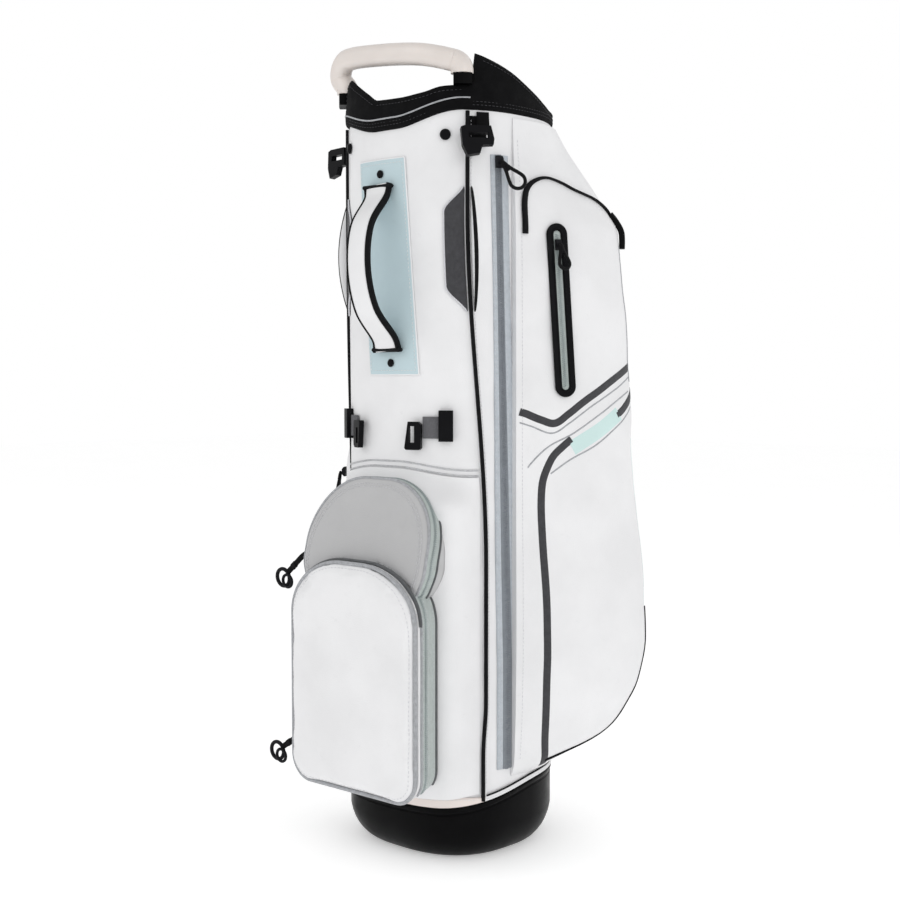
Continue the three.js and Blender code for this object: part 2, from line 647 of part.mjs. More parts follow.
function pocketPoint(place, z, shape = SIDE_POCKET) {
  const full = shape.line.getPoint(place);
  const angle = THREE.MathUtils.radToDeg(Math.atan2(full.x, -full.y));
  const behind = Math.max(place - LEVEL_FOOT, 0) / (1 - LEVEL_FOOT);
  const lift = FOOT_LIFT * behind * (1 - ease(z, 150, 250));
  full.z = z;
  const depth = along(shape.depth, Math.max(z - lift, shape.depth[0][0]));
  const p = onTube(angle, z, 0.8).lerp(full, depth);
  p.x *= shape.side;
  return p;
}

function pocketSolid(shape, steps) {
  const places = range(steps + 1).map((i) => i / steps);
  return loft(shape.depth.map(([z]) => {
    const outside = places.map((t) => pocketPoint(t, z, shape));
    const inside = places.map((t) => {
      const full = shape.line.getPoint(t);
      return onTube(shape.side * THREE.MathUtils.radToDeg(Math.atan2(full.x, -full.y)), z, GAP);
    }).reverse();
    return [...outside, ...inside];
  }));
}

function pocketOut(place, z, shape = SIDE_POCKET) {
  const ahead = pocketPoint(place + 0.02, z, shape).sub(pocketPoint(place - 0.02, z, shape));
  return vec(ahead.y, -ahead.x, 0).normalize().multiplyScalar(shape.side);
}

// Stadium ring: a long rounded frame round a slot, drawn flat.
function slotFrame(width, length, slotWidth, thick) {
  const stadium = (path, w, l) => {
    path.absarc(0, l / 2 - w / 2, w / 2, 0, Math.PI, false);
    path.absarc(0, -l / 2 + w / 2, w / 2, Math.PI, 2 * Math.PI, false);
    return path;
  };
  const shape = stadium(new THREE.Shape(), width, length);
  shape.holes.push(stadium(new THREE.Path(), slotWidth, length - width + slotWidth));
  return new THREE.ExtrudeGeometry(shape, { depth: thick, bevelEnabled: false, curveSegments: 8 });
}

// ---------------------------------------------------------------- zip sliders and pullers
const PULLER_CORD = 3;
const PULLERS = {
  side_zip: { size: 1, lean: 17, width: 20, length: 40, swing: 36 },
  storm_zip: { size: 0.9, lean: 10, width: 13.5, length: 29 },
  left_zip: { size: 0.9, lean: 8, width: 13.5, length: 29 },
  ball_zip: { size: 1, lean: 64, width: 25, length: 62 },
  valuables_zip: { size: 0.9, lean: 51, width: 25, length: 66 },
};

// Slider body with a raised bridge, drawn with the zip along Y and the outside towards Z.
function sliderBody(width, length, height) {
  const shape = new THREE.Shape();
  const l = length / 2;
  shape.moveTo(-l, 0);
  shape.lineTo(l, 0);
  shape.lineTo(l, height * 0.45);
  shape.lineTo(l * 0.5, height);
  shape.lineTo(-l * 0.5, height);
  shape.lineTo(-l, height * 0.45);
  const body = new THREE.ExtrudeGeometry(shape, { depth: width, bevelEnabled: false });
  const turn = new THREE.Matrix4().makeBasis(vec(0, 1, 0), vec(0, 0, 1), vec(1, 0, 0));
  return body.translate(0, 0, -width / 2).applyMatrix4(turn);
}

// Cord puller, drawn hanging down from its pivot: a narrow neck that opens into a loop.
function pullerLoop(width, length, cord) {
  const w = width / 2;
  const drop = (inset) => {
    const path = inset ? new THREE.Path() : new THREE.Shape();
    const top = -inset * 2.2;
    path.moveTo(-2.2 + inset * 0.5, top);
    path.bezierCurveTo(-w * 0.5 + inset, -length * 0.35, -w + inset, -length * 0.5, -w + inset, -length + w);
    path.absarc(0, -length + w, w - inset, Math.PI, 2 * Math.PI, false);
    path.bezierCurveTo(w - inset, -length * 0.5, w * 0.5 - inset, -length * 0.35, 2.2 - inset * 0.5, top);
    return path;
  };
  const shape = drop(0);
  shape.holes.push(drop(cord));
  return new THREE.ExtrudeGeometry(shape, { depth: cord, bevelEnabled: false, curveSegments: 5 })
    .translate(0, 0, -cord / 2);
}

// A slider on a zip and the puller that hangs from it. travel is the zip's direction, out its face.
// lean turns the puller from straight down towards the outside, swing turns it sideways.
function zipPull(name, place, travel, out, puller) {
  const { size, lean, width, length, swing = 0 } = puller;
  const height = 5 * size;
  add(`${name}_slider`, placed(sliderBody(8 * size, 13 * size, height), place, travel, out), BLACK_PLASTIC);
  const pivot = place.clone().addScaledVector(out, height + 2.4);
  const hang = DOWN.clone().addScaledVector(out, DOWN.dot(out) * -1).normalize();
  const drop = hang.applyAxisAngle(out, rad(swing)).multiplyScalar(Math.cos(rad(lean)));
  drop.addScaledVector(out, Math.sin(rad(lean)));
  const face = out.clone().addScaledVector(drop, -out.dot(drop));
  const front = face.lengthSq() > 1e-6 ? face : travel;
  const loop = pullerLoop(width, length, PULLER_CORD);
  add(`${name}_puller`, placed(loop, pivot, drop.clone().negate(), front), BLACK_PLASTIC);
  return pivot;
}

// Direction of the long zip at a height: straight, and upright near its lower end.
const zipAngle = (z) => mix(SIDE_ZIP_LOW_ANGLE, SIDE_ZIP_TOP_ANGLE,
  Math.max(0, (z - SIDE_ZIP_STRAIGHT) / (SIDE_ZIP_HIGH - SIDE_ZIP_STRAIGHT)));

function sidePockets() {
  add('side_pocket', pocketSolid(SIDE_POCKET, 18), WHITE_LEATHER);
  add('left_pocket', pocketSolid(LEFT_POCKET, 14), WHITE_LEATHER);

  const zipHeights = [SIDE_ZIP_LOW, SIDE_ZIP_STRAIGHT, 300, 400, 500, 600, 700, SIDE_ZIP_HIGH];
  add('side_zip_tape', loft(zipHeights.map((z) => {
    const across = range(5).map((i) => zipAngle(z) - 4.2 + 1.4 * i);
    return [...across.map((a) => onTube(a, z, GAP)), ...across.reverse().map((a) => onTube(a, z, 1.8))];
  })), ZIP_GREY);
  const zipTop = SIDE_ZIP_HIGH - 8;
  const onZip = (z) => onTube(zipAngle(z) - 1, z, SLIDER_OFF);
  const zipPlace = onZip(zipTop);
  const zipRun = zipPlace.clone().sub(onZip(SIDE_ZIP_STRAIGHT)).normalize();
  const zipOut = radial(zipPlace);
  zipOut.addScaledVector(zipRun, -zipOut.dot(zipRun)).normalize();
  zipPull('side_zip', zipPlace, zipRun, zipOut, PULLERS.side_zip);

  const low = pocketPoint(STORM_ZIP_PLACE, STORM_ZIP_LOW);
  const high = pocketPoint(STORM_ZIP_PLACE - STORM_ZIP_LEAN, STORM_ZIP_HIGH);
  const line = high.clone().sub(low);
  const out = pocketOut(STORM_ZIP_PLACE, (STORM_ZIP_LOW + STORM_ZIP_HIGH) / 2);
  const length = line.length();
  line.normalize();
  out.addScaledVector(line, -out.dot(line)).normalize();
  const centre = low.clone().add(high).multiplyScalar(0.5).addScaledVector(out, 1.2);
  add('storm_zip_frame', placed(slotFrame(25, length, 9, 2.4), centre, line, out), BLACK_PLASTIC);
  const stormPlace = centre.clone().addScaledVector(line, length / 2 - 24).addScaledVector(out, 2.8);
  zipPull('storm_zip', stormPlace, line, out, PULLERS.storm_zip);

  // Trim that arches over the pocket's face, and the webbing tab behind it.
  const offFace = ([t, z, off]) => pocketPoint(t, z).addScaledVector(pocketOut(t, z), off);
  const trim = [
    [0.12, 690, 4.6], [0.15, 722, 4.6], [0.22, 748, 4.6], [0.34, 757, 4.6],
    [0.48, 752, 4.6], [0.6, 741, 4.6], [0.69, 728, 4.6],
  ];
  add('pocket_arch_trim', sweep(smooth(trim.map(offFace), 18), roundSection(3, 3, 8), radial), BLACK_FABRIC);
  const tab = [[0.735, 722, 3.2], [0.745, 705, 6], [0.75, 688, 3.2]];
  add('pocket_tab', sweep(tab.map(offFace), strapSection(11, 2.4), radial), BLACK_FABRIC);

  const leftOut = pocketOut(LEFT_ZIP_PLACE, 400, LEFT_POCKET);
  const leftPlace = pocketPoint(LEFT_ZIP_PLACE, LEFT_ZIP_HIGH, LEFT_POCKET).addScaledVector(leftOut, 2);
  zipPull('left_zip', leftPlace, UP, leftOut, PULLERS.left_zip);
}

function frontZips() {
  // Both front zips start low on the left wall of their pocket and run up it.
  const wallLean = Math.atan(BALL_TAPER / (BALL_FRONT - 96));
  const ballOut = vec(-Math.cos(wallLean), Math.sin(wallLean), 0);
  const ballPlace = vec(-BALL_HALF + 2.4, -BALL_FRONT + 13, 128).addScaledVector(ballOut, 1);
  zipPull('ball_zip', ballPlace, UP, ballOut, PULLERS.ball_zip);
  const pocketWall = vec(-0.985, 0.17, 0).normalize();
  const valuablesPlace = vec(-VALUABLES_HALF + 0.8, -valuablesDepth(340, 1) + 11, 340);
  valuablesPlace.addScaledVector(pocketWall, 1.2);
  zipPull('valuables_zip', valuablesPlace, UP, pocketWall, PULLERS.valuables_zip);
}

function backPad() {
  const rise = (a) => 3 + 10 * Math.cos(rad((a - 180) * 2.6));
  add('back_pad', tubePlate(152, 208, 250, 640, GAP, rise, 12), CHARCOAL);
}

base();
tube();
dividers();
collar();
topHandle();
cornerSeams();
grabHandle();
clips();
frontPockets();
sidePockets();
frontZips();
backPad();

export default model;
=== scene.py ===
# Looks of a golf bag with a moulded base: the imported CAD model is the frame, and every soft or
# moulded piece is built here round it. Lengths are millimetres, turned to metres as meshes are made.
import bpy, bmesh, json, math
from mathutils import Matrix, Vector, noise
from mathutils.bvhtree import BVHTree


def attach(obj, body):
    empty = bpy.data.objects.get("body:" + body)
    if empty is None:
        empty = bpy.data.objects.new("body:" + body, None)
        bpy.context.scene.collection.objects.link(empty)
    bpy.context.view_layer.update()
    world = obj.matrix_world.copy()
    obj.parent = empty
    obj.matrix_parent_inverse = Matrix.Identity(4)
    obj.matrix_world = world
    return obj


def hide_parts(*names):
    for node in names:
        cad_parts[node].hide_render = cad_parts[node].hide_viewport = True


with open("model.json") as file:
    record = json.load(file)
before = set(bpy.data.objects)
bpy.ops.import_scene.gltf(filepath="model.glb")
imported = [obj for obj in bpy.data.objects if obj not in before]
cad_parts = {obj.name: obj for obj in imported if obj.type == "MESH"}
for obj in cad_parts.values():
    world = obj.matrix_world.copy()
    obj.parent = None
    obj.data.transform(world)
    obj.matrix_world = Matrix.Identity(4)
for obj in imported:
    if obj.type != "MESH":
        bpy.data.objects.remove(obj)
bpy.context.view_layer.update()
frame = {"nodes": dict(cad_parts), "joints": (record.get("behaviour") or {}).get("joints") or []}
NODES = frame["nodes"]
MM = 0.001
# Where each moving piece hangs, by the name of the piece's body.
PIVOTS = {joint["child"]: Vector(joint["pos_m"]) / MM for joint in frame["joints"] if "pos_m" in joint}

# ---------------------------------------------------------------- driving dimensions, as in the CAD
TUBE = 112                       # half width of the rounded-square tube
WALL = 3
GAP = 0.4
SQUARE_FRONT = 2.6
SQUARE_BACK = 2.05
BOOT_FRONT, BOOT_BACK = 61.6, 84
COLLAR_FRONT, COLLAR_CORNER = 813, 829
PANEL_FOOT = 78.4
BELLY, BELLY_FULL, BELLY_TOP = 22, 396, 441
BALL_FRONT, BALL_HALF, BALL_LOW, BALL_HIGH, BALL_CROWN = 166, 97, 82, 338, 62
BALL_TAPER, BALL_RISE, BALL_BACK = 27, 8, 96
VALUABLES_FOOT, VALUABLES_TOP, VALUABLES_BACK = 159, 129, 90
VALUABLES_HALF, VALUABLES_LOW, VALUABLES_HIGH, VALUABLES_CROWN = 93, 290, 428, 74
PANEL_HIGH, PANEL_LOW, PANEL_HALF_ANGLE = 781, 543, 17.8
GRIP_LOW, GRIP_HIGH = 612, 746
ZIP_LOW, ZIP_STRAIGHT, ZIP_HIGH = 102, 222, 782
ZIP_LOW_ANGLE, ZIP_TOP_ANGLE = 73.5, 66


# ---------------------------------------------------------------- small mathematics
def mix(a, b, t):
    return a + (b - a) * t


def ease(x, a, b):
    t = min(max((x - a) / (b - a), 0), 1)
    return t * t * (3 - 2 * t)


def steps(n, a=0.0, b=1.0):
    return [mix(a, b, i / n) for i in range(n + 1)]


# Values from a to b that crowd towards both ends, for edges that round over.
def crowded(n, a=0.0, b=1.0):
    return [mix(a, b, 0.5 - 0.5 * math.cos(math.pi * i / n)) for i in range(n + 1)]


# Value at x of the smooth line through [x, y] pairs, which never overshoots them.
def along(table, x):
    if x <= table[0][0]:
        return table[0][1]
    if x >= table[-1][0]:
        return table[-1][1]
    slopes = [(q[1] - p[1]) / (q[0] - p[0]) for p, q in zip(table, table[1:])]
    i = next(k for k in range(len(slopes)) if x <= table[k + 1][0])

    def tangent(k):
        if k == 0 or k == len(slopes):
            return slopes[min(k, len(slopes) - 1)]
        a, b = slopes[k - 1], slopes[k]
        return 0 if a * b <= 0 else 2 * a * b / (a + b)

    (x0, y0), (x1, y1) = table[i], table[i + 1]
    h = x1 - x0
    t = (x - x0) / h
    rise = y0 * (1 + 2 * t) * (1 - t) ** 2 + y1 * t * t * (3 - 2 * t)
    return rise + h * (tangent(i) * t * (1 - t) ** 2 - tangent(i + 1) * t * t * (1 - t))


def wavy(p, size, seed=0.0):
    return noise.noise(Vector((p.x / size + seed, p.y / size - seed, p.z / size + 2 * seed)))


def reach(angle, half=TUBE):
    turn = abs(((angle + 540) % 360) - 180)
    power = mix(SQUARE_FRONT, SQUARE_BACK, ease(turn, 62, 118))
    c = abs(math.cos(math.radians(angle)))
    s = abs(math.sin(math.radians(angle)))
    return half / (c**power + s**power) ** (1 / power)


# Point on the tube in a direction measured from the front towards +X.
def on_tube(angle, z, off=0.0, half=TUBE):
    r = reach(angle, half) + off
    a = math.radians(angle)
    return Vector((r * math.sin(a), -r * math.cos(a), z))


def radial(p):
    return Vector((p.x, p.y, 0)).normalized()


# Smooth line through points, centripetal, with so many steps between each two.
def smooth(points, count):
    pts = [Vector(p) for p in points]
    out = []
    for i in range(len(pts) - 1):
        p1, p2 = pts[i], pts[i + 1]
        p0 = pts[i - 1] if i else 2 * p1 - p2
        p3 = pts[i + 2] if i + 2 < len(pts) else 2 * p2 - p1
        t0, t1, t2 = (max((b - a).length ** 0.5, 1e-4) for a, b in ((p0, p1), (p1, p2), (p2, p3)))
        m1 = ((p1 - p0) / t0 - (p2 - p0) / (t0 + t1) + (p2 - p1) / t1) * t1
        m2 = ((p2 - p1) / t1 - (p3 - p1) / (t1 + t2) + (p3 - p2) / t2) * t1
        for k in range(count):
            w = k / count
            a = p1 + m1 * w + (3 * (p2 - p1) - 2 * m1 - m2) * w * w
            out.append(a + (2 * (p1 - p2) + m1 + m2) * w**3)
    return out + [pts[-1]]


# Points spaced evenly along a line of points.
def even(path, pitch):
    out, carry = [path[0].copy()], 0.0
    for a, b in zip(path, path[1:]):
        length = (b - a).length
        at = pitch - carry
        while at <= length:
            out.append(a.lerp(b, at / length))
            at += pitch
        carry = length - (at - pitch)
    return out


# ---------------------------------------------------------------- meshes
def make(name, points, faces, look, body="bag", stands_for=(), slot=None, sharp=42):
    mesh = bpy.data.meshes.new(name)
    mesh.from_pydata([tuple(Vector(p) * MM) for p in points], [], faces)
    bm = bmesh.new()
    bm.from_mesh(mesh)
    bmesh.ops.recalc_face_normals(bm, faces=bm.faces)
    bm.to_mesh(mesh)
    bm.free()
    mesh.shade_smooth()
    mesh.set_sharp_from_angle(angle=math.radians(sharp))
    for material in look if isinstance(look, (list, tuple)) else [look]:
        mesh.materials.append(material)
    obj = bpy.data.objects.new(name, mesh)
    bpy.context.scene.collection.objects.link(obj)
    settle(obj, body, stands_for, slot)
    return obj


def settle(obj, body, stands_for=(), slot=None):
    if body:
        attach(obj, body)
    if stands_for:
        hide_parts(*stands_for)


# Rings of equal length joined in a row. A row that closes on itself is a hollow ring.
def loft_faces(rings, n, closes):
    bands = rings if closes else rings - 1
    faces = []
    for i in range(bands):
        a, b = i * n, ((i + 1) % rings) * n
        faces += [(a + j, a + (j + 1) % n, b + (j + 1) % n, b + j) for j in range(n)]
    return faces


def loft(name, rings, look, closes=False, **how):
    n = len(rings[0])
    faces = loft_faces(len(rings), n, closes)
    if not closes:
        last = (len(rings) - 1) * n
        faces += [tuple(range(n)), tuple(range(last, last + n))]
    return make(name, [p for ring in rings for p in ring], faces, look, **how)


# Loop of points as a closed cord.
def hoop(name, loop, section, lean, look, **how):
    rings = sweep_rings(loop + loop[:2], section, lean)[1:-1]
    return loft(name, rings, look, closes=True, **how)


# Once round the edge of a panel, as u, v pairs.
def edges():
    tall, wide = steps(60), steps(20)
    there = [(0, t) for t in tall] + [(t, 1) for t in wide]
    return there + [(1, 1 - t) for t in tall] + [(1 - t, 0) for t in wide]


# Closed panel: place(u, v, off) is a point that stands off the surface by off, and rise(u, v) is
# how far the outside stands. Both faces are full grids, so that a wide panel never caves in.
def panel(name, place, us, vs, rise, look, inner=GAP, **how):
    top = [[place(u, v, rise(u, v)) for u in us] for v in vs]
    low = [[place(u, v, inner) for u in us] for v in vs]
    rows, cols = len(vs), len(us)
    points = [p for row in top + low for p in row]
    at = lambda side, i, j: side * rows * cols + i * cols + j
    faces = []
    for side in (0, 1):
        faces += [(at(side, i, j), at(side, i, j + 1), at(side, i + 1, j + 1), at(side, i + 1, j))
                  for i in range(rows - 1) for j in range(cols - 1)]
    rim = [(0, j) for j in range(cols - 1)] + [(i, cols - 1) for i in range(rows - 1)]
    rim += [(rows - 1, j) for j in range(cols - 1, 0, -1)] + [(i, 0) for i in range(rows - 1, 0, -1)]
    for (i, j), (k, m) in zip(rim, rim[1:] + rim[:1]):
        faces.append((at(0, i, j), at(0, k, m), at(1, k, m), at(1, i, j)))
    return make(name, points, faces, look, **how)


# How full a pad is at u, v: 0 at its edges, 1 a given part of the way in.
def pillow(u, v, wide=0.18, tall=0.08, power=0.5):
    a = min(u, 1 - u) / wide
    b = min(v, 1 - v) / tall
    return (min(max(a, 0), 1) * (2 - min(a, 1))) ** power * (min(max(b, 0), 1) * (2 - min(b, 1))) ** power


def directions(points):
    ends = [(points[max(i - 1, 0)], points[min(i + 1, len(points) - 1)]) for i in range(len(points))]
    return [(b - a).normalized() for a, b in ends]


# Section swept along points. lean gives the direction of the section's second axis at each point.
def sweep_rings(points, section, lean):
    rings = []
    for i, (p, ahead) in enumerate(zip(points, directions(points))):
        up = Vector(lean(p) if callable(lean) else lean[i])
        up = (up - ahead * up.dot(ahead)).normalized()
        side = ahead.cross(up)
        ring = section(i / (len(points) - 1)) if callable(section) else section
        rings.append([p + side * a + up * b for a, b in ring])
    return rings


def sweep(name, points, section, lean, look, closes=False, **how):
    return loft(name, sweep_rings(points, section, lean), look, closes=closes, **how)


def oval(ra, rb, sides=12, power=2.0):
    shaped = lambda v: math.copysign(abs(v) ** (2 / power), v)
    turns = [2 * math.pi * i / sides for i in range(sides)]
    return [(ra * shaped(math.cos(t)), rb * shaped(math.sin(t))) for t in turns]


def strap(width, thick):
    w, t = width / 2, thick / 2
    c = t * 0.8
    corner = [(w, t - c), (w - c * 0.3, t - c * 0.3), (w - c, t)]
    quarter = corner + [(0, t)] + [(-a, b) for a, b in reversed(corner)]
    return quarter + [(-a, -b) for a, b in quarter]


# Several closed shapes in one piece, each a list of points and a list of faces.
def cluster(name, shapes, look, **how):
    points, faces = [], []
    for pts, fcs in shapes:
        base = len(points)
        points += pts
        faces += [tuple(base + k for k in f) for f in fcs]
    return make(name, points, faces, look, **how)


# One stitch: a short thread, thin at both ends, sunk a little at them.
def stitch_shape(a, b, up, radius):
    ahead = (b - a).normalized()
    side = ahead.cross(up).normalized()
    rings = []
    for t, r, h in ((0, 0.35, -0.5), (0.2, 0.9, 0.2), (0.8, 0.9, 0.2), (1, 0.35, -0.5)):
        centre = a.lerp(b, t) + up * h * radius
        rings.append([centre + (side * x + up * y) * radius * r for x, y in oval(1, 1, 6)])
    pts = [p for ring in rings for p in ring]
    faces = loft_faces(4, 6, False) + [tuple(range(6)), tuple(range(18, 24))]
    return pts, faces


# Row of stitches along a path. lean gives the outside at a point; lift raises the thread.
def stitches(name, path, lean, look=None, length=2.8, space=1.6, radius=0.3, lift=0.25, **how):
    spots = even(path, length + space)
    shapes = []
    for a, b in zip(spots, spots[1:]):
        up = lean(a)
        end = a.lerp(b, length / (length + space))
        shapes.append(stitch_shape(a + up * lift, end + up * lift, up, radius))
    return cluster(name, shapes, look or thread_light, **how)


def block_shape(centre, x, y, z, size, taper=0.7):
    pts = []
    for level, k in ((-0.5, 1), (0.5, taper)):
        for a, b in ((-0.5, -0.5), (0.5, -0.5), (0.5, 0.5), (-0.5, 0.5)):
            pts.append(centre + x * size[0] * a * k + y * size[1] * b * k + z * size[2] * level)
    return pts, [(3, 2, 1, 0), (4, 5, 6, 7), (0, 1, 5, 4), (1, 2, 6, 5), (2, 3, 7, 6), (3, 0, 4, 7)]


# Two rows of zip teeth that interlock along a path.
def zip_teeth(name, path, lean, look, pitch=2.4, wide=3.0, tall=1.3, lift=0.5, **how):
    spots = even(path, pitch / 2)
    shapes = []
    for i, (p, ahead) in enumerate(zip(spots, directions(spots))):
        up = lean(p)
        side = ahead.cross(up).normalized() * (1 if i % 2 else -1)
        centre = p + side * wide * 0.28 + up * lift
        shapes.append(block_shape(centre, side, ahead, up, (wide, pitch * 0.42, tall)))
    return cluster(name, shapes, look, **how)


# Surface of an object that details are laid on.
class Skin:
    def __init__(self, obj):
        self.tree = BVHTree.FromObject(obj, bpy.context.evaluated_depsgraph_get())

    # Point on the skin seen from outside of p, raised by lift along out.
    def at(self, p, out, lift=0.0):
        start = (p + out * 30) * MM
        hit = self.tree.ray_cast(start, -out, 0.08)[0]
        return (hit / MM if hit else p) + out * lift

    # The same for each point of a path.
    def line(self, path, lean, lift=0.0):
        return [self.at(p, lean(p), lift) for p in path]


# Flat strip laid on a skin along a path, slightly domed, its edges sunk into the skin.
def strip(name, skin, path, lean, width, thick, look, **how):
    centre = skin.line(path, lean)
    aheads = directions(centre)
    rows = []
    for i, (p, ahead) in enumerate(zip(centre, aheads)):
        up = lean(p)
        side = ahead.cross(up).normalized()
        w = width(i / (len(centre) - 1)) if callable(width) else width
        top, low = [], []
        for k in range(7):
            t = k / 3 - 1
            q = skin.at(p + side * t * w / 2, up)
            top.append(q + up * (thick * (1 - abs(t) ** 4) + 0.05))
            low.append(q - up * 0.9)
        rows.append(top + low[::-1])
    return loft(name, rows, look, **how)


def cut(obj, *cutters):
    for cutter in cutters:
        step = obj.modifiers.new("cut", "BOOLEAN")
        step.operation = "DIFFERENCE"
        step.solver = "EXACT"
        step.object = cutter
        bake(obj)
    for cutter in cutters:
        bpy.data.objects.remove(cutter)


# Puts what the modifiers make into the mesh itself.
def bake(obj):
    bpy.context.view_layer.update()
    graph = bpy.context.evaluated_depsgraph_get()
    mesh = bpy.data.meshes.new_from_object(obj.evaluated_get(graph), depsgraph=graph)
    old = obj.data
    obj.modifiers.clear()
    obj.data = mesh
    bpy.data.meshes.remove(old)


SWELL_FRAMES = 20


# Swells a closed pad by a cloth simulation; no point moves further than cap.
def inflate(obj, voxel, cap, pressure=4.0):
    remesh = obj.modifiers.new("voxels", "REMESH")
    remesh.mode = "VOXEL"
    remesh.voxel_size = voxel * MM
    bake(obj)
    rest = [v.co.copy() for v in obj.data.vertices]
    cloth = obj.modifiers.new("cloth", "CLOTH")
    cloth.settings.use_pressure = True
    cloth.settings.uniform_pressure_force = pressure
    cloth.settings.quality = 4
    cloth.settings.effector_weights.gravity = 0
    scene = bpy.context.scene
    for step in range(1, SWELL_FRAMES + 1):
        scene.frame_set(step)
    bake(obj)
    scene.frame_set(1)
    for v, start in zip(obj.data.vertices, rest):
        move = v.co - start
        if move.length > cap * MM:
            v.co = start + move.normalized() * cap * MM
    fine = obj.modifiers.new("fine", "SUBSURF")
    fine.levels = fine.render_levels = 1
    bake(obj)
    obj.data.shade_smooth()


# Gives a CAD piece its material and rounds its edges.
def dress(node, look, width, segments=3):
    slots = NODES[node].data.materials
    if len(slots):
        slots[0] = look
    else:
        slots.append(look)
    bevel = NODES[node].modifiers.new("edges", "BEVEL")
    bevel.width = width * MM
    bevel.segments = segments
    bevel.limit_method = "ANGLE"
    bevel.angle_limit = math.radians(28)
    bevel.harden_normals = False
    NODES[node].data.shade_smooth()
    NODES[node].data.set_sharp_from_angle(angle=math.radians(50))


# ---------------------------------------------------------------- materials
class Shader:
    """Node graph of one material: textures lie in object space, so their scale is per metre."""

    def __init__(self, name, rough, metal=0.0, specular=0.5):
        self.material = bpy.data.materials.new(name)
        self.material.use_nodes = True
        self.tree = self.material.node_tree
        self.out = self.tree.nodes["Principled BSDF"]
        self.out.inputs["Roughness"].default_value = rough
        self.out.inputs["Metallic"].default_value = metal
        self.out.inputs["Specular IOR Level"].default_value = specular
        self.space = self.node("ShaderNodeTexCoord").outputs["Object"]
        self.relief = None

    def node(self, kind, **inputs):
        made = self.tree.nodes.new(kind)
        for key, value in inputs.items():
            self.feed(made.inputs[key.replace("_", " ")], value)
        return made

    def feed(self, socket, value):
        if isinstance(value, bpy.types.NodeSocket):
            self.tree.links.new(value, socket)
        else:
            socket.default_value = value

    def noise(self, scale, detail=3.0, stretch=(1, 1, 1), rough=0.5):
        space = self.node("ShaderNodeMapping", Vector=self.space, Scale=stretch).outputs[0]
        made = self.node("ShaderNodeTexNoise", Vector=space, Scale=scale, Detail=detail, Roughness=rough)
        return made.outputs["Fac"]

    def cells(self, scale, stretch=(1, 1, 1), feature="F1"):
        space = self.node("ShaderNodeMapping", Vector=self.space, Scale=stretch).outputs[0]
        made = self.node("ShaderNodeTexVoronoi", Vector=space, Scale=scale)
        made.feature = feature
        return made.outputs["Distance"]

    def wave(self, scale, axis, distortion=0.0, shape="SIN"):
        made = self.node("ShaderNodeTexWave", Vector=self.space, Scale=scale, Distortion=distortion)
        made.bands_direction = axis
        made.wave_profile = shape
        return made.outputs["Fac"]

    def combine(self, a, b, how="MULTIPLY"):
        made = self.node("ShaderNodeMath")
        made.operation = how
        self.feed(made.inputs[0], a)
        self.feed(made.inputs[1], b)
        return made.outputs[0]

    def ramp(self, value, low, high, dark=0.0, light=1.0):
        made = self.node("ShaderNodeMapRange")
        keys = ("Value", "From Min", "From Max", "To Min", "To Max")
        for key, v in zip(keys, (value, low, high, dark, light)):
            self.feed(made.inputs[key], v)
        return made.outputs[0]

    # Colour between two values as a texture says; low and high are the texture's useful range.
    def colour(self, first, second, by, low=0.35, high=0.65):
        made = self.node("ShaderNodeMix")
        made.data_type = "RGBA"
        self.feed(made.inputs[0], self.ramp(by, low, high))
        self.feed(made.inputs[6], first if isinstance(first, bpy.types.NodeSocket) else (*first, 1))
        self.feed(made.inputs[7], second if isinstance(second, bpy.types.NodeSocket) else (*second, 1))
        return made.outputs[2]

    def paint(self, socket):
        self.feed(self.out.inputs["Base Color"], socket)

    def roughen(self, by, low, high):
        self.feed(self.out.inputs["Roughness"], self.ramp(by, 0.3, 0.7, low, high))

    def bump(self, height, distance, strength=1.0):
        made = self.node("ShaderNodeBump", Height=height, Distance=distance * MM, Strength=strength)
        if self.relief:
            self.feed(made.inputs["Normal"], self.relief)
        self.relief = made.outputs[0]
        self.feed(self.out.inputs["Normal"], self.relief)

    def sheen(self, weight, rough=0.4, tint=(1, 1, 1)):
        self.out.inputs["Sheen Weight"].default_value = weight
        self.out.inputs["Sheen Roughness"].default_value = rough
        self.out.inputs["Sheen Tint"].default_value = (*tint, 1)

    def coat(self, weight, rough=0.2):
        self.out.inputs["Coat Weight"].default_value = weight
        self.out.inputs["Coat Roughness"].default_value = rough


def shade(c, k):
    return tuple(min(v * k, 1) for v in c)


# Coated leather: fine pebble grain in two sizes, faint creases and handling marks.
def leather(name, colour, rough=0.48, grain=1.0):
    s = Shader(name, rough)
    mottle = s.noise(14, 4)
    smudge = s.noise(60, 5, rough=0.7)
    clean = s.colour(shade(colour, 0.955), shade(colour, 1.02), mottle)
    s.paint(s.colour(clean, shade(colour, 0.93), smudge, 0.62, 0.8))
    s.roughen(s.noise(120, 3), rough - 0.06, rough + 0.1)
    s.bump(s.cells(520, feature="DISTANCE_TO_EDGE"), 0.32 * grain, 0.55)
    s.bump(s.noise(1500, 2), 0.1 * grain, 0.5)
    s.bump(s.noise(38, 3, stretch=(1, 1, 0.6)), 1.6, 0.25)
    s.sheen(0.06)
    return s.material


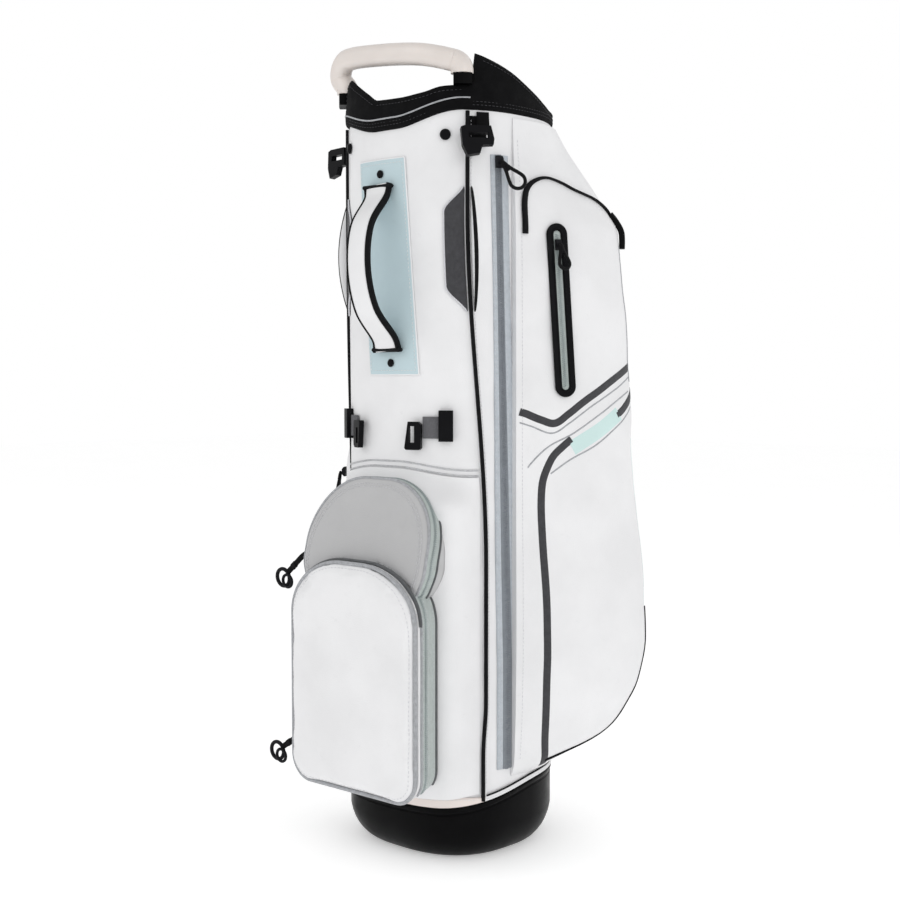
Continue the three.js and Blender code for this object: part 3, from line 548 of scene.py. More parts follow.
# Woven nylon: two sets of threads over and under, with slubs and lint.
def nylon(name, colour, rough=0.82, count=420, fuzz=0.25):
    dark = max(colour) < 0.05
    s = Shader(name, rough, specular=0.1 if dark else 0.35)
    up = s.wave(count, "Z", 0.6)
    across = s.wave(count, "DIAGONAL", 0.6)
    weave = s.combine(up, across)
    slubs = s.combine(weave, s.noise(240, 3), "ADD")
    s.paint(s.colour(shade(colour, 0.7), shade(colour, 1.35), slubs, 0.35, 1.15))
    s.roughen(s.noise(90, 3), rough - 0.08, rough + 0.1)
    s.bump(weave, 0.35, 0.6)
    s.bump(s.noise(45, 4), 1.2, 0.25)
    s.sheen(0.012 if dark else fuzz, 0.5)
    return s.material


# Webbing: heavy ribs across the strap and a finer twill along it.
def webbing(name, colour, axis="Z"):
    s = Shader(name, 0.78, specular=0.12)
    ribs = s.wave(330, axis, 0.4)
    threads = s.noise(700, 3, stretch=(1, 1, 3))
    s.paint(s.colour(shade(colour, 0.65), shade(colour, 1.5), s.combine(ribs, threads), 0.1, 0.6))
    s.bump(ribs, 0.45, 0.7)
    s.bump(threads, 0.15, 0.5)
    s.sheen(0.02, 0.5)
    return s.material


# Injection-moulded plastic: fine spark-eroded texture, rubbed smoother in places.
def plastic(name, colour, rough=0.45, texture=0.12, scratch=0.5):
    s = Shader(name, rough, specular=0.06 if max(colour) < 0.05 else 0.5)
    rubbed = s.noise(35, 4, rough=0.65)
    s.paint(s.colour(shade(colour, 0.9), shade(colour, 1.25), rubbed, 0.4, 0.75))
    s.roughen(rubbed, rough + 0.08, rough - 0.1)
    s.bump(s.noise(1900, 2), texture, 0.5)
    s.bump(s.noise(160, 5, stretch=(1, 1, 7), rough=0.7), 0.12, 0.3 * scratch)
    return s.material


# Satin plastic of the top handle: nearly smooth, slightly waxy, faint flow lines.
def satin(name, colour):
    s = Shader(name, 0.34)
    s.paint(s.colour(shade(colour, 0.97), shade(colour, 1.02), s.noise(22, 3)))
    s.roughen(s.noise(80, 4), 0.28, 0.44)
    s.bump(s.noise(1300, 2), 0.05, 0.4)
    s.bump(s.noise(60, 3, stretch=(0.3, 1, 2)), 0.35, 0.2)
    s.out.inputs["Subsurface Weight"].default_value = 0.06
    s.out.inputs["Subsurface Radius"].default_value = (0.006, 0.005, 0.004)
    s.coat(0.15, 0.25)
    return s.material


# Zip tape: narrow ribs of the knitted edge, a soft tone change along it.
def tape(name, colour):
    s = Shader(name, 0.7, specular=0.35)
    ribs = s.wave(520, "Z", 0.3)
    s.paint(s.colour(shade(colour, 0.8), shade(colour, 1.15), s.combine(ribs, s.noise(160, 3)), 0.1, 0.6))
    s.bump(ribs, 0.3, 0.6)
    s.sheen(0.2, 0.5)
    return s.material


def cord_look(name, colour):
    s = Shader(name, 0.6, specular=0.15)
    twist = s.wave(620, "DIAGONAL", 1.0)
    s.paint(s.colour(shade(colour, 0.7), shade(colour, 1.6), twist, 0.2, 0.8))
    s.bump(twist, 0.35, 0.6)
    s.sheen(0.02, 0.5)
    return s.material


def foam(name, colour):
    s = Shader(name, 0.95, specular=0.2)
    pores = s.cells(900)
    s.paint(s.colour(shade(colour, 0.7), shade(colour, 1.2), pores, 0.1, 0.6))
    s.bump(pores, 0.5, 0.6)
    return s.material


def fibreglass(name, colour):
    s = Shader(name, 0.3)
    strands = s.noise(900, 3, stretch=(1, 1, 0.03))
    s.paint(s.colour(shade(colour, 0.75), shade(colour, 1.2), strands))
    s.bump(strands, 0.1, 0.5)
    s.coat(0.3, 0.2)
    return s.material


# Open spacer mesh of the back pad: round holes in staggered rows.
def spacer_mesh(name, colour):
    s = Shader(name, 0.85, specular=0.3)
    holes = s.cells(260)
    s.paint(s.colour(shade(colour, 0.25), colour, holes, 0.12, 0.32))
    s.bump(s.ramp(holes, 0.1, 0.4), 0.8, 0.8)
    s.bump(s.noise(60, 3), 0.8, 0.3)
    s.sheen(0.3, 0.5)
    return s.material


WHITE = (0.84, 0.84, 0.85)
GREY = (0.50, 0.50, 0.505)
CREAM = (0.83, 0.755, 0.715)
BLACK = (0.003, 0.003, 0.0035)
CHARCOAL = (0.048, 0.048, 0.053)
PALE_BLUE = (0.53, 0.66, 0.70)
ZIP_GREY = (0.26, 0.285, 0.315)
PALE_ZIP = (0.60, 0.65, 0.70)
GREEN_GREY = (0.52, 0.58, 0.56)
TEAL = (0.62, 0.80, 0.78)

white_leather = leather("white_leather", WHITE)
grey_leather = leather("grey_leather", GREY, 0.52)
cream_leather = leather("cream_leather", CREAM, 0.46)
blue_leather = leather("pale_blue_leather", PALE_BLUE, 0.5)
teal_leather = leather("teal_leather", TEAL, 0.5)
black_nylon = nylon("black_nylon", BLACK)
charcoal_nylon = nylon("charcoal_nylon", CHARCOAL)
lining = nylon("grey_lining", (0.045, 0.047, 0.055), 0.88, 520)
black_webbing = webbing("black_webbing", BLACK)
grey_webbing = webbing("grey_webbing", (0.16, 0.16, 0.17))
moulded = plastic("moulded_black", (0.0015, 0.0015, 0.0018), 0.38, 0.1)
buckle_black = plastic("buckle_black", (0.006, 0.006, 0.007), 0.36, 0.06)
handle_white = satin("handle_white", (0.76, 0.70, 0.66))
zip_tape_look = tape("zip_tape_grey", ZIP_GREY)
green_tape = tape("zip_tape_green_grey", GREEN_GREY)
teeth_dark = plastic("zip_teeth_dark", (0.04, 0.042, 0.047), 0.3, 0.03)
teeth_grey = plastic("zip_teeth_grey", (0.24, 0.26, 0.29), 0.3, 0.03)
teeth_pale = plastic("zip_teeth_pale", (0.36, 0.41, 0.41), 0.35, 0.03)
pale_tape = tape("zip_tape_pale", PALE_ZIP)
metal = plastic("slider_metal", (0.012, 0.012, 0.014), 0.28, 0.03)
black_cord = cord_look("black_cord", BLACK)
thread_light = cord_look("thread_light", (0.60, 0.60, 0.63))
thread_white = cord_look("thread_white", (0.80, 0.80, 0.81))
thread_dark = cord_look("thread_dark", (0.05, 0.05, 0.055))
piping_black = nylon("piping_black", (0.006, 0.006, 0.007), 0.6, 700, 0.15)
piping_dark = nylon("piping_dark", (0.11, 0.115, 0.12), 0.6, 700, 0.1)
piping_pale = nylon("piping_pale", (0.56, 0.565, 0.58), 0.6, 700, 0.15)
piping_grey = nylon("piping_grey", (0.42, 0.43, 0.45), 0.6, 700, 0.15)
foam_look = foam("closed_cell_foam", (0.045, 0.045, 0.05))
stay_look = fibreglass("fibreglass", (0.27, 0.28, 0.25))
pad_mesh = spacer_mesh("spacer_mesh", (0.075, 0.076, 0.082))


# ---------------------------------------------------------------- camera, lights and floor
CAMERA_TURN = 41.5               # degrees from the front towards +X
CAMERA_FAR = 1.690
CAMERA_HIGH = 0.541
CAMERA_DOWN = 3.31
CAMERA_LENS = 57.44
CAMERA_SHIFT = (-0.0046, 0.0106)
AMBIENT = 0.7                    # white surroundings as a light
FLOOR_HALF = 9000
FLOOR_GLOW = 0.34                # keeps the pale floor as bright as the background
# Name, place, width and power of each soft lamp, all aimed at the middle of the bag.
LAMPS = [("key", (-1.6, -2.4, 2.1), 1.5, 9), ("fill", (2.6, -0.9, 1.5), 1.6, 11),
         ("back", (0.6, 2.4, 2.0), 1.6, 5)]
BAG_MIDDLE = 0.45


def studio():
    scene = bpy.context.scene
    turn = math.radians(CAMERA_TURN)
    data = bpy.data.cameras.new("camera")
    camera = bpy.data.objects.new("camera", data)
    scene.collection.objects.link(camera)
    camera.location = (CAMERA_FAR * math.sin(turn), -CAMERA_FAR * math.cos(turn), CAMERA_HIGH)
    camera.rotation_euler = (math.radians(90 - CAMERA_DOWN), 0, turn)
    data.sensor_width = 36
    data.lens = CAMERA_LENS
    data.shift_x, data.shift_y = CAMERA_SHIFT
    scene.camera = camera
    scene.view_settings.view_transform = "Standard"
    surroundings(scene)
    lamps(scene)
    floor()


# White behind the object, dimmer as a light on it.
def surroundings(scene):
    world = bpy.data.worlds.new("studio")
    world.use_nodes = True
    world.node_tree.nodes["Background"].inputs[0].default_value = (1, 1, 1, 1)
    path = world.node_tree.nodes.new("ShaderNodeLightPath")
    level = world.node_tree.nodes.new("ShaderNodeMapRange")
    level.inputs["To Min"].default_value = AMBIENT
    level.inputs["To Max"].default_value = 1.0
    world.node_tree.links.new(path.outputs["Is Camera Ray"], level.inputs["Value"])
    world.node_tree.links.new(level.outputs[0], world.node_tree.nodes["Background"].inputs[1])
    scene.world = world


def lamps(scene):
    for name, place, size, power in LAMPS:
        lamp = bpy.data.lights.new(name, "AREA")
        lamp.size = size
        lamp.energy = power
        obj = bpy.data.objects.new(name, lamp)
        scene.collection.objects.link(obj)
        obj.location = place
        aim = Vector(place) - Vector((0, 0, BAG_MIDDLE))
        obj.rotation_euler = aim.to_track_quat("Z", "Y").to_euler()


def floor():
    look = Shader("floor", 0.9, specular=0.1)
    look.paint(look.colour((0.93, 0.93, 0.93), (0.94, 0.94, 0.94), look.noise(3)))
    look.out.inputs["Emission Color"].default_value = (1, 1, 1, 1)
    look.out.inputs["Emission Strength"].default_value = FLOOR_GLOW
    corners = [(x * FLOOR_HALF, y * FLOOR_HALF, 0) for x, y in ((-1, -1), (1, -1), (1, 1), (-1, 1))]
    make("floor", corners, [(0, 1, 2, 3)], look.material, body=None)


# ---------------------------------------------------------------- base, tube and hem
def boot_top(a):
    return mix(BOOT_FRONT, BOOT_BACK, ease(abs(a), 30, 108))


def hem_top(a):
    return boot_top(a) + mix(12, 6, ease(abs(a), 40, 60))


def collar_low(a):
    return mix(COLLAR_FRONT, COLLAR_CORNER, ease(abs(a), 8, 46))


# The rim sweeps up to the handle's left foot. On the right it dips, and the ear stands behind the foot.
RIM = [(-180, 843), (-115, 848), (-90, 857), (-75, 870), (-60, 884), (-55, 887), (-50, 851), (-40, 853),
       (-35, 878), (-25, 868), (-15, 856), (-7, 847), (10, 846), (25, 849), (35, 854), (50.2, 856),
       (50.8, 876), (51.6, 889), (54, 888), (60, 884), (75, 873), (85, 864), (95, 855), (105, 847),
       (115, 843), (180, 843)]


def collar_high(a):
    return along(RIM, a)


LOOP = [360 * i / 180 - 180 for i in range(180)]


# Ring round the tube. half and z may depend on the direction.
def ring(half, z):
    value = lambda v, a: v(a) if callable(v) else v
    return [on_tube(a, value(z, a), 0, value(half, a)) for a in LOOP]


def base():
    # Up the outside from the middle of the underside, over a rolled lip and down the inside to its middle.
    foot = [(0, 2), (0, 50), (0, 86), (0.8, 89), (3, 93.5), (6, 97.6), (11, 102.2), (16, 105.8), (22, 108.8),
            (30, 111.6), (38, 113.2)]
    lip = [(-9, 113.2), (-8.2, 112.5), (-6.6, 112.5), (-5.8, 113.2), (-2.6, 114.2), (-1.2, 114.2),
           (-0.3, 113.6), (0, 112.4), (-0.4, 110.6), (-3, 110)]
    inside = [(38, 109.4), (17, 101.8), (14, 98.8), (8, 95.2), (6, 92.8), (6, 50), (6, 2)]
    rows = [ring(half, z) for z, half in foot]
    rows += [ring(half, lambda a, dz=dz: boot_top(a) + dz) for dz, half in lip]
    rows += [ring(half, z) for z, half in inside]
    loft("base_boot_shell", rows, moulded, closes=True, stands_for=["base_boot"], slot="moulded_black",
         sharp=35)
    pad = [(6.6, 90.5), (7.2, 91.8), (13.4, 91.8), (14.4, 90.8), (14.5, 60), (14.5, 2)]
    loft("base_pad_foam", [ring(half, z) for z, half in pad], foam_look, stands_for=["base_pad"], slot="foam")


def tube():
    top = lambda a: collar_low(a) - GAP
    foot = lambda a: boot_top(a) + GAP
    rows = []
    for t in steps(90):
        row = []
        for a in LOOP:
            p = on_tube(a, mix(foot(a), top(a), t))
            dent = 0.35 + 0.9 * wavy(p, 46) * ease(abs(a), 18, 30) * (1 - 0.6 * ease(p.z, 690, 790))
            row.append(p - radial(p) * max(dent, 0))
        rows.append(row)
    inner = [[on_tube(a, mix(foot(a), top(a), t), 0, TUBE - WALL) for a in LOOP] for t in reversed(steps(24))]
    obj = loft("tube_cover", rows + inner, [white_leather, lining], closes=True, stands_for=["body_shell"],
               slot="white_leather")
    # The rings after the outside ones are the lining.
    n, inmost = len(LOOP), len(rows)
    for poly in obj.data.polygons:
        if min(poly.vertices) // n >= inmost - 1 and max(poly.vertices) // n >= inmost:
            poly.material_index = 1
    for name, node in (("left", "stay_left"), ("right", "stay_right"), ("back", "stay_back")):
        dress(node, stay_look, 0.5, 2)


# Bound edge over the boot: cream across the front, white round the sides under a thin dark line.
def hem():
    profile = [(0.2, 0.8), (0.4, 2.1), (1.2, 2.8), (3, 2.8)]
    top = [(-3, 2.8), (-1.2, 2.7), (-0.3, 2.1), (0, 1.2)]
    rows = [ring(TUBE + off, lambda a, dz=dz: boot_top(a) + GAP + dz) for dz, off in profile]
    rows += [ring(TUBE + off, lambda a, dz=dz: hem_top(a) + dz) for dz, off in top]
    rows.append(ring(TUBE + GAP, hem_top))
    rows.append(ring(TUBE + GAP, lambda a: boot_top(a) + GAP))
    obj = loft("hem_binding", rows, [cream_leather, white_leather], closes=True, stands_for=["hem_band"],
               slot="cream_leather")
    for poly in obj.data.polygons:
        poly.material_index = int(abs(LOOP[min(poly.vertices) % len(LOOP)]) > 56)
    front = [on_tube(a, hem_top(a) - 2.2, 2.8) for a in steps(110, -54, 54)]
    stitches("hem_stitching", front, radial, thread_white, length=3.2, radius=0.35)
    line = [on_tube(a, hem_top(a) + 0.4, 1.4) for a in steps(240, 59, 301)]
    sweep("hem_side_line", line, oval(1.0, 1.0, 8), radial, piping_black, slot="black_fabric")


def insides():
    dress("divider_top", moulded, 1.2)
    for name in ("cross", "front", "rear_left", "rear_right"):
        dress(f"divider_sheet_{name}", lining, 0.4, 2)


# ---------------------------------------------------------------- collar and top handle
# The collar's padding is thinner round the back.
def thin(a):
    return mix(1, 0.3, ease(abs(a), 70, 120))


def collar():
    # From the lower outside edge up over the rim and down the inside: part of the height, half width.
    outside = [(0, 113.2), (0.015, 114.3), (0.06, 115.4), (0.16, 116.2), (0.3, 116.5), (0.5, 116.4),
               (0.75, 116), (0.88, 115.4), (0.95, 114.8)]
    over = [(-1.4, 113.6), (-0.4, 113), (0, 112.2), (-0.4, 111.4), (-1.6, 110.9)]
    inside = [(0.9, 110.8), (0.7, 110.4), (0.4, 110), (0.1, 109.7), (0, 109.8)]
    level = lambda t: lambda a: mix(collar_low(a), collar_high(a), t)
    wide = lambda h, t: lambda a: TUBE + (h - TUBE + 0.7 * pucker(a, t)) * thin(a)
    rows = [ring(wide(h, t), level(t)) for t, h in outside]
    rows += [ring(h, lambda a, dz=dz: collar_high(a) + dz) for dz, h in over]
    rows += [ring(h, level(t)) for t, h in inside]
    obj = loft("collar_cuff", rows, black_nylon, closes=True, stands_for=["collar"], slot="black_fabric")
    line = [on_tube(a, collar_low(a) + 12, 4.6) for a in steps(120, -47, 49.5)]
    sweep("collar_piping", line, oval(0.9, 0.9, 8), radial, piping_grey, slot="grey_leather")
    for k, dz in enumerate((4.5, 8.0)):
        path = [on_tube(a, collar_low(a) + dz, (3.7 + 0.25 * k) * thin(a)) for a in steps(360, -179, 179)]
        stitches(f"collar_stitching_{k + 1}", path, radial, thread_dark, length=3.0, radius=0.35)
    for name, first, last in (("left", -40, -8), ("front", -6, 48), ("right", 56, 178), ("back", -178, -60)):
        rim = [on_tube(a, collar_high(a) - 6, 3.9 * thin(a)) for a in steps(120, first, last)]
        stitches(f"rim_stitching_{name}", rim, radial, thread_dark, length=3.0, radius=0.35)


def pucker(a, t):
    folds = noise.noise(Vector((a / 6, t * 4, 0))) + 0.5 * noise.noise(Vector((a / 2.2, t * 6, 5)))
    return folds * (1 - t) * t * 4


HANDLE_THICK = 24
HANDLE_HIGH_LINE = 904
HANDLE_RIGHT_DROP = 22           # its right end lies lower than its left
HANDLE_FOOT_ANGLE, HANDLE_FOOT_HIGH = 45.5, 866.4


def top_handle():
    left, right = (on_tube(side * HANDLE_FOOT_ANGLE, HANDLE_FOOT_HIGH, 2) for side in (-1, 1))
    high, low = HANDLE_HIGH_LINE, HANDLE_HIGH_LINE - HANDLE_RIGHT_DROP
    knots = [left + Vector((0, 0, 7)), (-98, -87, high - 19), (-95, -89, high - 8), (-85, -91.5, high - 1),
             (-70, -94, high), (-39, -98, high - 2.5), (11, -101, high - 8), (41, -100, high - 12.5),
             (64, -97, high - 18), (77, -94, low)]
    path = [left] + smooth(knots, 5)
    rise = 3
    bend = low - right.z - rise
    for turn in (12, 25, 38, 50, 63, 75, 90):
        t = math.radians(turn)
        y = mix(-93, right.y, math.sin(t))
        path.append(Vector((right.x - bend + bend * math.sin(t), y, right.z + rise + bend * math.cos(t))))
    path.append(right)
    ahead = Vector((0, -1, 0.001))
    sweep("handle_loop", path, oval(HANDLE_THICK / 2, 11, 32, 2.5), lambda p: ahead, handle_white,
          stands_for=["top_handle"], slot="white_plastic")
    for name in ("left", "right"):
        dress(f"handle_mount_{name}", moulded, 1.6)


# ---------------------------------------------------------------- corner seams, grips and snaps
def seam_angle(z):
    return mix(48.2, 58.3, ease(720 - z, 0, 390)) - 1.5 * ease(180 - z, 0, 60)


SIDES = (("right", 1), ("left", -1))


def corner_seams():
    for name, side in SIDES:
        heights = steps(150, boot_top(seam_angle(PANEL_FOOT)) + 2, COLLAR_CORNER - 2)
        path = [on_tube(side * seam_angle(z), z, 2.7) for z in heights]
        sweep(f"seam_piping_{name}", path, oval(2.3, 2.3, 14), radial, piping_black,
              stands_for=[f"corner_piping_{name}"], slot="black_fabric")
        flange = [[on_tube(side * (seam_angle(z) + d), z, off) for d, off in
                   ((-1.5, 0.2), (-1.3, 1.0), (0, 1.3), (2.1, 1.0), (2.3, 0.2), (0, -0.4))] for z in heights]
        loft(f"seam_flange_{name}", flange, white_leather, slot="white_leather")
        row = [on_tube(side * (seam_angle(z) + 1.9), z, 0.9) for z in steps(150, 84, 822)]
        stitches(f"seam_stitching_{name}", row, radial, length=2.6, space=1.4)


def grips():
    for name, side in SIDES:
        place = lambda u, v, off: on_tube(side * (seam_angle(at(v)) - 1.6 - leaf(v) * u), at(v), off)
        at = lambda v: mix(GRIP_LOW, GRIP_HIGH, v)
        leaf = lambda v: 0.5 + 10 * ease(v, -0.02, 0.2) * (1 - ease(v, 0.8, 1.02))
        rise = lambda u, v: 0.9 + 2.1 * pillow(u, v, 0.25, 0.1)
        panel(f"grip_pad_{name}", place, crowded(12), crowded(48), rise, charcoal_nylon, inner=0.2,
              stands_for=[f"grip_patch_{name}"], slot="charcoal_fabric")
        edge = [on_tube(side * (seam_angle(at(v)) - 1.6 - leaf(v)), at(v), 1.5) for v in steps(60)]
        sweep(f"grip_edge_{name}", edge, oval(1.0, 1.0, 8), radial, thread_light)
        crescent(name, side)


# Padded crescent that stands behind the seam, bound in black along its crest.
def crescent(name, side):
    swell = lambda v: max(math.sin(math.pi * v), 0) ** 0.8
    at = lambda v: mix(GRIP_LOW, GRIP_HIGH, v)
    rings, crest = [], []
    for v in crowded(48):
        near = seam_angle(at(v)) + 1.7
        wide = 0.8 + 2.2 * swell(v)
        high = 2 + 13 * swell(v)
        half = [(0, 0.3), (0, high * 0.5), (0.06, high * 0.86), (0.25, high * 0.98), (0.5, high)]
        loop = half + [(1 - k, off) for k, off in reversed(half[:-1])]
        rings.append([on_tube(side * (near + wide * k), at(v), off) for k, off in loop])
        crest.append(on_tube(side * (near + wide * 0.5), at(v), high - 0.6))
    loft(f"grip_crescent_{name}", rings, white_leather, stands_for=[f"side_grip_{name}"],
         slot="white_leather")
    sweep(f"grip_binding_{name}", crest, lambda t: oval(0.6 + 1.7 * swell(t), 1.1, 10), radial, piping_black)


def snaps():
    for name, side in SIDES:
        dress(f"hood_snap_{name}", buckle_black, 0.5)


# ---------------------------------------------------------------- coloured panel and grab handle
PANEL_MIDDLE = (PANEL_HIGH + PANEL_LOW) / 2
FACE = -114.8                    # plane of the coloured panel's front


def lean_at(z):
    return 0.075 * (PANEL_MIDDLE - z)


def panel_place(u, v, off):
    z = mix(PANEL_LOW, PANEL_HIGH, v)
    middle = math.degrees(lean_at(z) / TUBE)
    return on_tube(middle + mix(-PANEL_HALF_ANGLE, PANEL_HALF_ANGLE, u), z, off)


def colour_panel():
    rise = lambda u, v: 1.2 + 1.2 * pillow(u, v, 0.1, 0.04)
    obj = panel("blue_panel", panel_place, crowded(32), crowded(80), rise, blue_leather, inner=0.2,
                stands_for=["handle_panel"], slot="pale_blue")
    inset = 0.045
    corners = [(inset, 0.02), (inset, 0.98), (1 - inset, 0.98), (1 - inset, 0.02), (inset, 0.02)]
    path = []
    for (u0, v0), (u1, v1) in zip(corners, corners[1:]):
        spots = [(mix(u0, u1, t), mix(v0, v1, t)) for t in steps(60)]
        path += [panel_place(u, v, rise(u, v)) for u, v in spots]
    stitches("blue_panel_stitching", path, radial, thread_white, lift=0.1, radius=0.35)
    edge = [panel_place(u, v, 1.0) for u, v in edges()]
    sweep("blue_panel_edging", edge, oval(0.8, 0.8, 8), radial, white_leather)


def grab_handle():
    spots = [(FACE - 5, 752), (FACE - 7, 740), (-148, 706), (-157, 660), (-148, 614), (FACE - 7, 581),
             (FACE - 5, 569)]
    path = smooth([(lean_at(z), y, z) for y, z in spots], 10)
    ahead = Vector((0, -1, 0))
    wide = lambda t: mix(40, 33, math.sin(math.pi * t))

    # Fat in the middle and thin at the ends, where the strap is sewn down.
    def section(t):
        thick = mix(6.5, 10, ease(min(t, 1 - t), 0, 0.14))
        return oval(wide(t) / 2 - 2.4, thick / 2, 28, 3.2)

    obj = sweep("grab_strap", path, section, lambda p: ahead, white_leather, stands_for=["grab_handle"],
                slot="white_leather")
    frames = list(zip(path, directions(path)))
    for name, side in SIDES:
        line = []
        for i, (p, along_path) in enumerate(frames):
            up = (ahead - along_path * ahead.dot(along_path)).normalized()
            line.append(p + along_path.cross(up) * side * (wide(i / (len(path) - 1)) / 2 - 2.4))
        sweep(f"grab_binding_{name}", line, oval(2.4, 4.2, 14), lambda p: ahead, piping_black)
    for name, end, z in (("upper", 0, 752), ("lower", -1, 569)):
        p, along_path = frames[end]
        out = along_path * (1 if end else -1)
        hem_line = [p + Vector((t, 0, 0)) - out * 1.5 for t in steps(20, -20, 20)]
        sweep(f"grab_end_{name}", hem_line, oval(2.6, 4.3, 14), lambda p: ahead, piping_black)
    for name in ("upper", "lower"):
        dress(f"handle_rivet_{name}", buckle_black, 0.5)


# ---------------------------------------------------------------- lower front panel and front pockets
# The panel's upper edge falls away towards the corners.
def belly_top(a):
    return BELLY_TOP - 2 - 9 * ease(abs(a), 8, 50)


def belly_spot(u, v):
    rough = mix(PANEL_FOOT, BELLY_TOP, v)
    limit = min(seam_angle(PANEL_FOOT) - 2, seam_angle(rough) - 2)
    a = mix(-limit, limit, u)
    return a, mix(PANEL_FOOT, belly_top(a), v)


def belly_rise(a, z):
    across = 1 - ease(abs(a), 36, seam_angle(300) - 1)
    upright = 1 - ease(z, BELLY_FULL, belly_top(a))
    return 2.2 + BELLY * across * upright


def belly_place(u, v, off):
    a, z = belly_spot(u, v)
    return on_tube(a, z, off)


def lower_panel():
    def rise(u, v):
        a, z = belly_spot(u, v)
        crease = 1.1 * wavy(on_tube(a, z), 60, 3) * min(1, 8 * u * (1 - u)) * min(1, 12 * v * (1 - v))
        return max(belly_rise(a, z) + crease - 0.6, 1.0)

    panel("lower_front_cover", belly_place, crowded(70), crowded(90), rise, white_leather, inner=0.2,
          stands_for=["front_lower_panel"], slot="white_leather")
    limit = seam_angle(BELLY_TOP) - 2
    for k, dz in enumerate((2, 8)):
        path = [on_tube(a, belly_top(a) + dz, 0.3) for a in steps(100, -limit, limit)]
        sweep(f"yoke_seam_{k + 1}", path, oval(0.9, 0.8, 8), radial, piping_pale)


# Arch in X and Z: straight sides, rounded foot, wide rounded top.
def arch(half, low, high, foot, crown):
    outline = []

    def arc(cx, cz, rx, rz, start, end, count):
        for k in range(count):
            t = math.radians(mix(start, end, k / count))
            outline.append((cx + rx * math.cos(t), cz + rz * math.sin(t)))

    flat = half * 0.16
    arc(half - foot, low + foot, foot, foot, -90, 0, 14)
    outline.extend((half, mix(low + foot, high - crown, k / 16)) for k in range(16))
    arc(flat, high - crown, half - flat, crown, 0, 90, 36)
    outline.extend((mix(flat, -flat, k / 6), high) for k in range(6))
    arc(-flat, high - crown, half - flat, crown, 90, 180, 36)
    outline.extend((-half, mix(high - crown, low + foot, k / 16)) for k in range(16))
    arc(-half + foot, low + foot, foot, foot, 180, 270, 14)
    outline.extend((mix(-half + foot, half - foot, k / 20), low) for k in range(20))
    return outline


ARCH_COUNT = len(arch(97, 82, 338, 30, 62))


def ball_arch(inset):
    return arch(BALL_HALF - inset, BALL_LOW + inset, BALL_HIGH - inset, 30 - inset, BALL_CROWN)


def at_depth(outline, y):
    return [Vector((x, -y, z)) for x, z in outline]


# Rings that shrink to the middle of the last ring and close it as a cap.
def cap_rings(last, centre, out, count, crown):
    rings = []
    for k in range(1, count):
        t = 1 - k / count
        rings.append([centre + (p - centre) * t + out * crown * (1 - t * t) for p in last])
    return rings


def tube_block(low, high, half=TUBE):
    rows = [[on_tube(a, z, 0, half) for a in LOOP] for z in (low, high)]
    return loft("cutter", rows, white_leather, body=None)


def belly_block(extra):
    rise = lambda u, v: belly_rise(*belly_spot(u, v)) + extra
    return panel("cutter", belly_place, steps(50), steps(60), rise, white_leather, inner=-30, body=None)


# Outline of the ball pocket at a distance from the axis, off outside its wall.
def ball_outline(depth, off=0.0):
    t = (BALL_FRONT - depth) / (BALL_FRONT - BALL_BACK)
    low, high = BALL_LOW + BALL_RISE * t, BALL_HIGH - BALL_RISE * t
    return arch(BALL_HALF - BALL_TAPER * t + off, low - off, high + off, mix(30, 22, t) + off, BALL_CROWN)


def ball_row(depth, off):
    return [Vector((x, -depth, z)) for x, z in (ball_outline(depth, off(k))[k] for k in range(ARCH_COUNT))]


def ball_block(extra):
    rows = [at_depth(ball_outline(depth, extra), depth) for depth in (80, BALL_FRONT)]
    rows.append(at_depth(ball_outline(BALL_FRONT, extra), BALL_FRONT + 14))
    return loft("cutter", rows, white_leather, body=None)


def ball_pocket():
    rows = []
    for depth in steps(12, BALL_BACK, BALL_FRONT - 1.2):
        rows.append(ball_row(depth, lambda k: 0.5 * noise.noise(Vector((k / 7, depth / 20, 1))) - 0.4))
    inside = [(BALL_FRONT - 0.4, -0.6), (BALL_FRONT, -1.2), (BALL_FRONT, -3.4), (BALL_FRONT - 1, -4),
              (BALL_BACK, -4)]
    rows += [ball_row(depth, lambda k: off) for depth, off in inside]
    wall = loft("ball_pocket_wall", rows, white_leather, closes=True, stands_for=["ball_pocket_gusset"],
                slot="white_leather")
    cut(wall, tube_block(40, 480), belly_block(-1.0))
    flap()
    ball_zip()


# Front of the ball pocket, padded and swollen by simulation, with a bound edge and a seam inside it.
def flap():
    front = BALL_FRONT + 2
    edge = [(3, -1.2), (1, -0.4), (0.4, 1), (1, 3), (4, 5), (9, 5.8)]
    rows = [at_depth(ball_arch(inset), front + ahead) for inset, ahead in edge]
    centre = Vector((0, -front - 5.8, 190))
    rows += cap_rings(rows[-1], centre, Vector((0, -1, 0)), 12, 1.2)
    obj = loft("ball_pocket_front", rows, white_leather, body="ball_pocket_flap",
               stands_for=["ball_pocket_flap"], slot="white_leather")
    inflate(obj, 3, 3.5)
    obj.data.materials.clear()
    obj.data.materials.append(white_leather)
    skin = Skin(obj)
    out = Vector((0, -1, 0))
    lean = lambda p: out
    loop = at_depth(ball_arch(7), front + 3)
    loop = loop + loop[:1]
    stitches("ball_front_stitching", skin.line(loop, lean), lean, length=3.2, space=1.8,
             lift=0.1, body="ball_pocket_flap", radius=0.35)
    hoop("ball_front_piping", at_depth(ball_arch(1.8), front + 1.6), oval(2.3, 2.3, 10), lean, piping_grey,
         body="ball_pocket_flap")


# Which way a wall faces: sideways below the crown, outwards from its middle above that.
def wall_lean(crown_foot):
    def lean(p):
        z = p.z - crown_foot
        return Vector((math.copysign(1, p.x), 0, 0)) if z < 0 else Vector((p.x, 0, z * 1.5)).normalized()
    return lean


# Sections of a band, from the lines that run along it at each point of its section.
def across_line(line, section):
    return [list(spots) for spots in zip(*(line(place, off) for place, off in section))]


